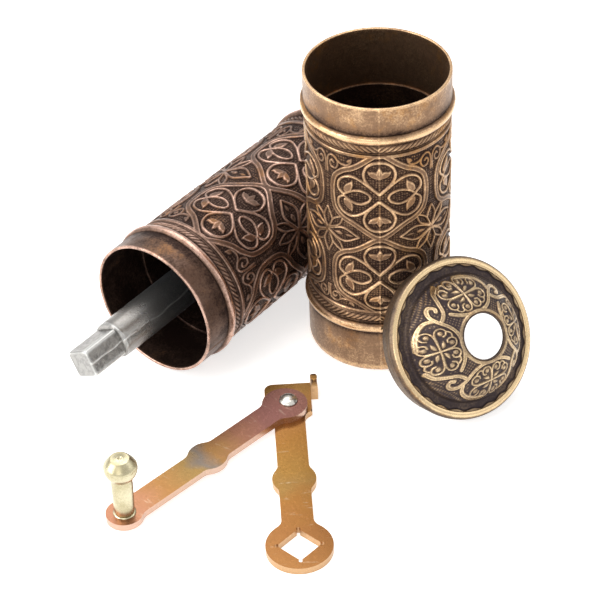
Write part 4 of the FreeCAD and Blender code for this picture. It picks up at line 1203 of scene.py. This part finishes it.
def rounded_copy(node, name, body, corners=(), along_degrees=0.0, edge=0.35):
    """A merged copy of a CAD node with rounded corners and a Bevel on its sharp edges.

    A corner is a box (low, high) in mm in the arm's own directions, and a rounding in mm.
    """
    shape = bmesh.new()
    shape.from_mesh(bpy.data.objects[node].data)
    bmesh.ops.remove_doubles(shape, verts=shape.verts, dist=1e-6)
    bmesh.ops.dissolve_limit(shape, angle_limit=math.radians(1), verts=shape.verts,
                             edges=shape.edges)
    u = Vector(heading(along_degrees))
    v = Vector((-u.y, u.x, 0))
    origin = Vector(PIVOT) * MM
    for low, high, size in corners:
        chosen = []
        for line in shape.edges:
            spots = [((vertex.co - origin).dot(u) / MM, (vertex.co - origin).dot(v) / MM,
                      vertex.co.z / MM) for vertex in line.verts]
            if (all(l <= s <= h for spot in spots for l, s, h in zip(low, spot, high))
                    and len(line.link_faces) == 2 and line.calc_face_angle() > 1.2):
                chosen.append(line)
        bmesh.ops.bevel(shape, geom=chosen, offset=size * MM, segments=6, profile=0.5,
                        affect="EDGES")
        print(name, "rounds", len(chosen), "edges by", size, "mm")
    bmesh.ops.recalc_face_normals(shape, faces=shape.faces)
    for face in shape.faces:
        face.smooth = False
    mesh = bpy.data.meshes.new(name)
    shape.to_mesh(mesh)
    shape.free()
    piece = bpy.data.objects.new(name, mesh)
    bpy.context.scene.collection.objects.link(piece)
    rounding = piece.modifiers.new("rounded edges", "BEVEL")
    rounding.limit_method = "ANGLE"
    rounding.angle_limit = math.radians(40)
    rounding.width = edge * MM
    rounding.segments = 3
    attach(piece, body)
    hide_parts(node)
    return piece


rounded_copy("inner_arm", "inner_arm_stamped", "crank",
             [((-12.2, -8.4, -0.1), (-11.4, -7.6, 2.6), 3.0),
              ((2.6, -8.4, -0.1), (3.4, 8.4, 2.6), 2.2),
              ((-12.2, 7.6, 7.4), (-5.2, 10.9, 8.0), 2.4)], INNER_HEADING)
rounded_copy("outer_arm", "outer_arm_stamped", "crank_outer")

# %% [markdown]
# ## The knob and the rivet
# The knob is turned on a lathe, with its own pin riveted under the arm, and the pivot's rivet has
# a low dome. Both are a line of (radius, height) points carried round an upright axis.

# %% The knob and the rivet, turned
UPRIGHT = ((1, 0, 0), (0, 1, 0), (0, 0, 1))
TURNED_AROUND = 96
knob_line = [(1.9, 2.5), (3.0, 2.5), (2.0, 3.5), (2.0, 5.06), (3.75, 5.06), (3.8, 5.3),
             (3.6, 5.55), (3.05, 5.7), (3.05, 5.95), (3.4, 6.15), (3.42, 7.0), (3.6, 19.9),
             (3.7, 20.5), (4.1, 21.0), (4.75, 21.7), (5.3, 22.8), (5.6, 24.0), (5.65, 24.9),
             (5.5, 25.7), (5.2, 26.3), (3.55, 28.3), (3.25, 28.55), (2.9, 28.62), (2.5, 28.55),
             (2.2, 28.66), (1.6, 28.58), (1.3, 28.72), (0.8, 28.74), (0.55, 28.5), (0.1, 28.15)]
rivet_line = [(0.1, 0.0), (3.0, 0.0), (2.0, 1.0), (2.0, 5.06), (3.2, 5.06), (3.2, 5.2),
              (3.05, 5.6), (2.6, 6.08), (1.9, 6.44), (1.0, 6.62), (0.1, 6.66)]
for name, place, line, body, slot, node in [
        ("knob_turned", (-87.885, -96.785, 0), knob_line, "knob", "pale_brass", "crank_knob"),
        ("rivet_domed", PIVOT, rivet_line, "crank", "bright_steel", "pivot_rivet")]:
    profile = subdivided([(r, z, 0.5, 0.0) for r, z in line], 1.5)
    turned(name, Axes(place, *UPRIGHT), profile, TURNED_AROUND, body, [node], 0.0,
           closed=False)

# %% [markdown]
# ## Yellow zinc
# The arms are plated with yellow zinc. The plating's film is thin, so its colour wanders from gold
# to mauve, rose and blue-green along the arm. A ramp along each arm gives that order, noise bends
# it, the stamped side faces are painted paler as a painted reflection of the white floor, faces
# slanted between top and side turn dark brown, and a few scratches run along the arm.

# %% Yellow zinc
def zinc_metal(name, direction, length, stops, edge):
    """Colour by the distance along the arm, bent by noise, with painted reflection on the sides.
    """
    material, tree = new_material(name)
    coordinates = add_node(tree, "ShaderNodeTexCoord")
    place = coordinates.outputs["Object"]
    reach = along(tree, place, PIVOT, direction)
    bend = swing_about_nought(tree, noise(tree, place, 75.0, 3.0), 22.0)
    share = remap(tree, calculate(tree, "ADD", reach, bend), -8.0, length + 6.0, smooth=False)
    ramp = add_node(tree, "ShaderNodeValToRGB", {"Fac": share})
    elements = ramp.color_ramp.elements
    while len(elements) > 1:
        elements.remove(elements[-1])
    elements[0].position, elements[0].color = stops[0][0], (*stops[0][1], 1)
    for position, colour in stops[1:]:
        elements.new(position).color = (*colour, 1)
    split = add_node(tree, "ShaderNodeSeparateXYZ", {0: coordinates.outputs["Normal"]})
    # Side faces get the pale colour given as edge: a painted reflection of the white floor.
    side = remap(tree, split.outputs["Z"], 0.1, 0.6, 1.0, 0.0)
    colour = blend_colours(tree, calculate(tree, "MULTIPLY", side, 0.75),
                           ramp.outputs["Color"], (*edge, 1))
    # Faces slanted between the top and the sides turn dark brown.
    slanted_face_darkening = calculate(tree, "MULTIPLY", remap(tree, split.outputs["Z"], 0.35, 0.7),
                     remap(tree, split.outputs["Z"], 0.85, 0.99, 1.0, 0.0))
    colour = blend_colours(tree, calculate(tree, "MULTIPLY", slanted_face_darkening, 0.7), colour,
                           (0.16, 0.085, 0.04, 1))
    fine = noise(tree, place, 1500.0, 3.0, 0.6)
    scratch_place = add_node(tree, "ShaderNodeMapping", {
        "Vector": place, "Rotation": (0, 0, math.atan2(direction[1], direction[0])),
        "Scale": (1, 5, 1)}, vector_type="TEXTURE")
    scratch = noise(tree, scratch_place.outputs[0], 900.0, 2.0)
    marks = calculate(tree, "MULTIPLY", remap(tree, scratch, 0.64, 0.78), 0.22)
    colour = blend_colours(tree, marks, colour, (0.80, 0.70, 0.55, 1))
    rough = remap(tree, fine, 0.3, 0.7, 0.24, 0.4, smooth=False)
    return finish_metal(material, tree, colour, 0.95, rough, bumped(tree, fine, 0.3, 0.05))


# %% The arms' colours
# A stop is a share of the way along the arm and the colour there.
OUTER_STOPS = [
    (0.0, (0.224, 0.104, 0.078)), (0.2, (0.192, 0.083, 0.069)), (0.36, (0.235, 0.108, 0.065)),
    (0.47, (0.267, 0.143, 0.052)), (0.54, (0.181, 0.148, 0.122)), (0.60, (0.277, 0.174, 0.061)),
    (0.75, (0.330, 0.165, 0.057)), (0.9, (0.384, 0.182, 0.104)), (1.0, (0.384, 0.174, 0.104))]
INNER_STOPS = [
    (0.0, (0.312, 0.165, 0.050)), (0.15, (0.323, 0.147, 0.050)), (0.3, (0.297, 0.138, 0.033)),
    (0.5, (0.286, 0.152, 0.038)), (0.58, (0.270, 0.152, 0.046)), (0.7, (0.291, 0.133, 0.035)),
    (0.85, (0.270, 0.119, 0.038)), (1.0, (0.281, 0.129, 0.042))]
OUTER_LENGTH, INNER_LENGTH = 76.0, 68.5
# The last colour of each arm is the painted reflection on its side faces.
dress(["outer_arm_stamped"],
      zinc_metal("yellow_zinc_outer", heading(OUTER_HEADING), OUTER_LENGTH, OUTER_STOPS,
                 (0.66, 0.46, 0.36)))
dress(["inner_arm_stamped"],
      zinc_metal("yellow_zinc_inner", heading(INNER_HEADING), INNER_LENGTH, INNER_STOPS,
                 (0.62, 0.40, 0.22)))
dress(["knob_turned"],
      plain_metal("pale_brass", (0.40, 0.35, 0.21), (0.62, 0.57, 0.40), 0.3, 0.2))
dress(["rivet_domed"], bright_steel)
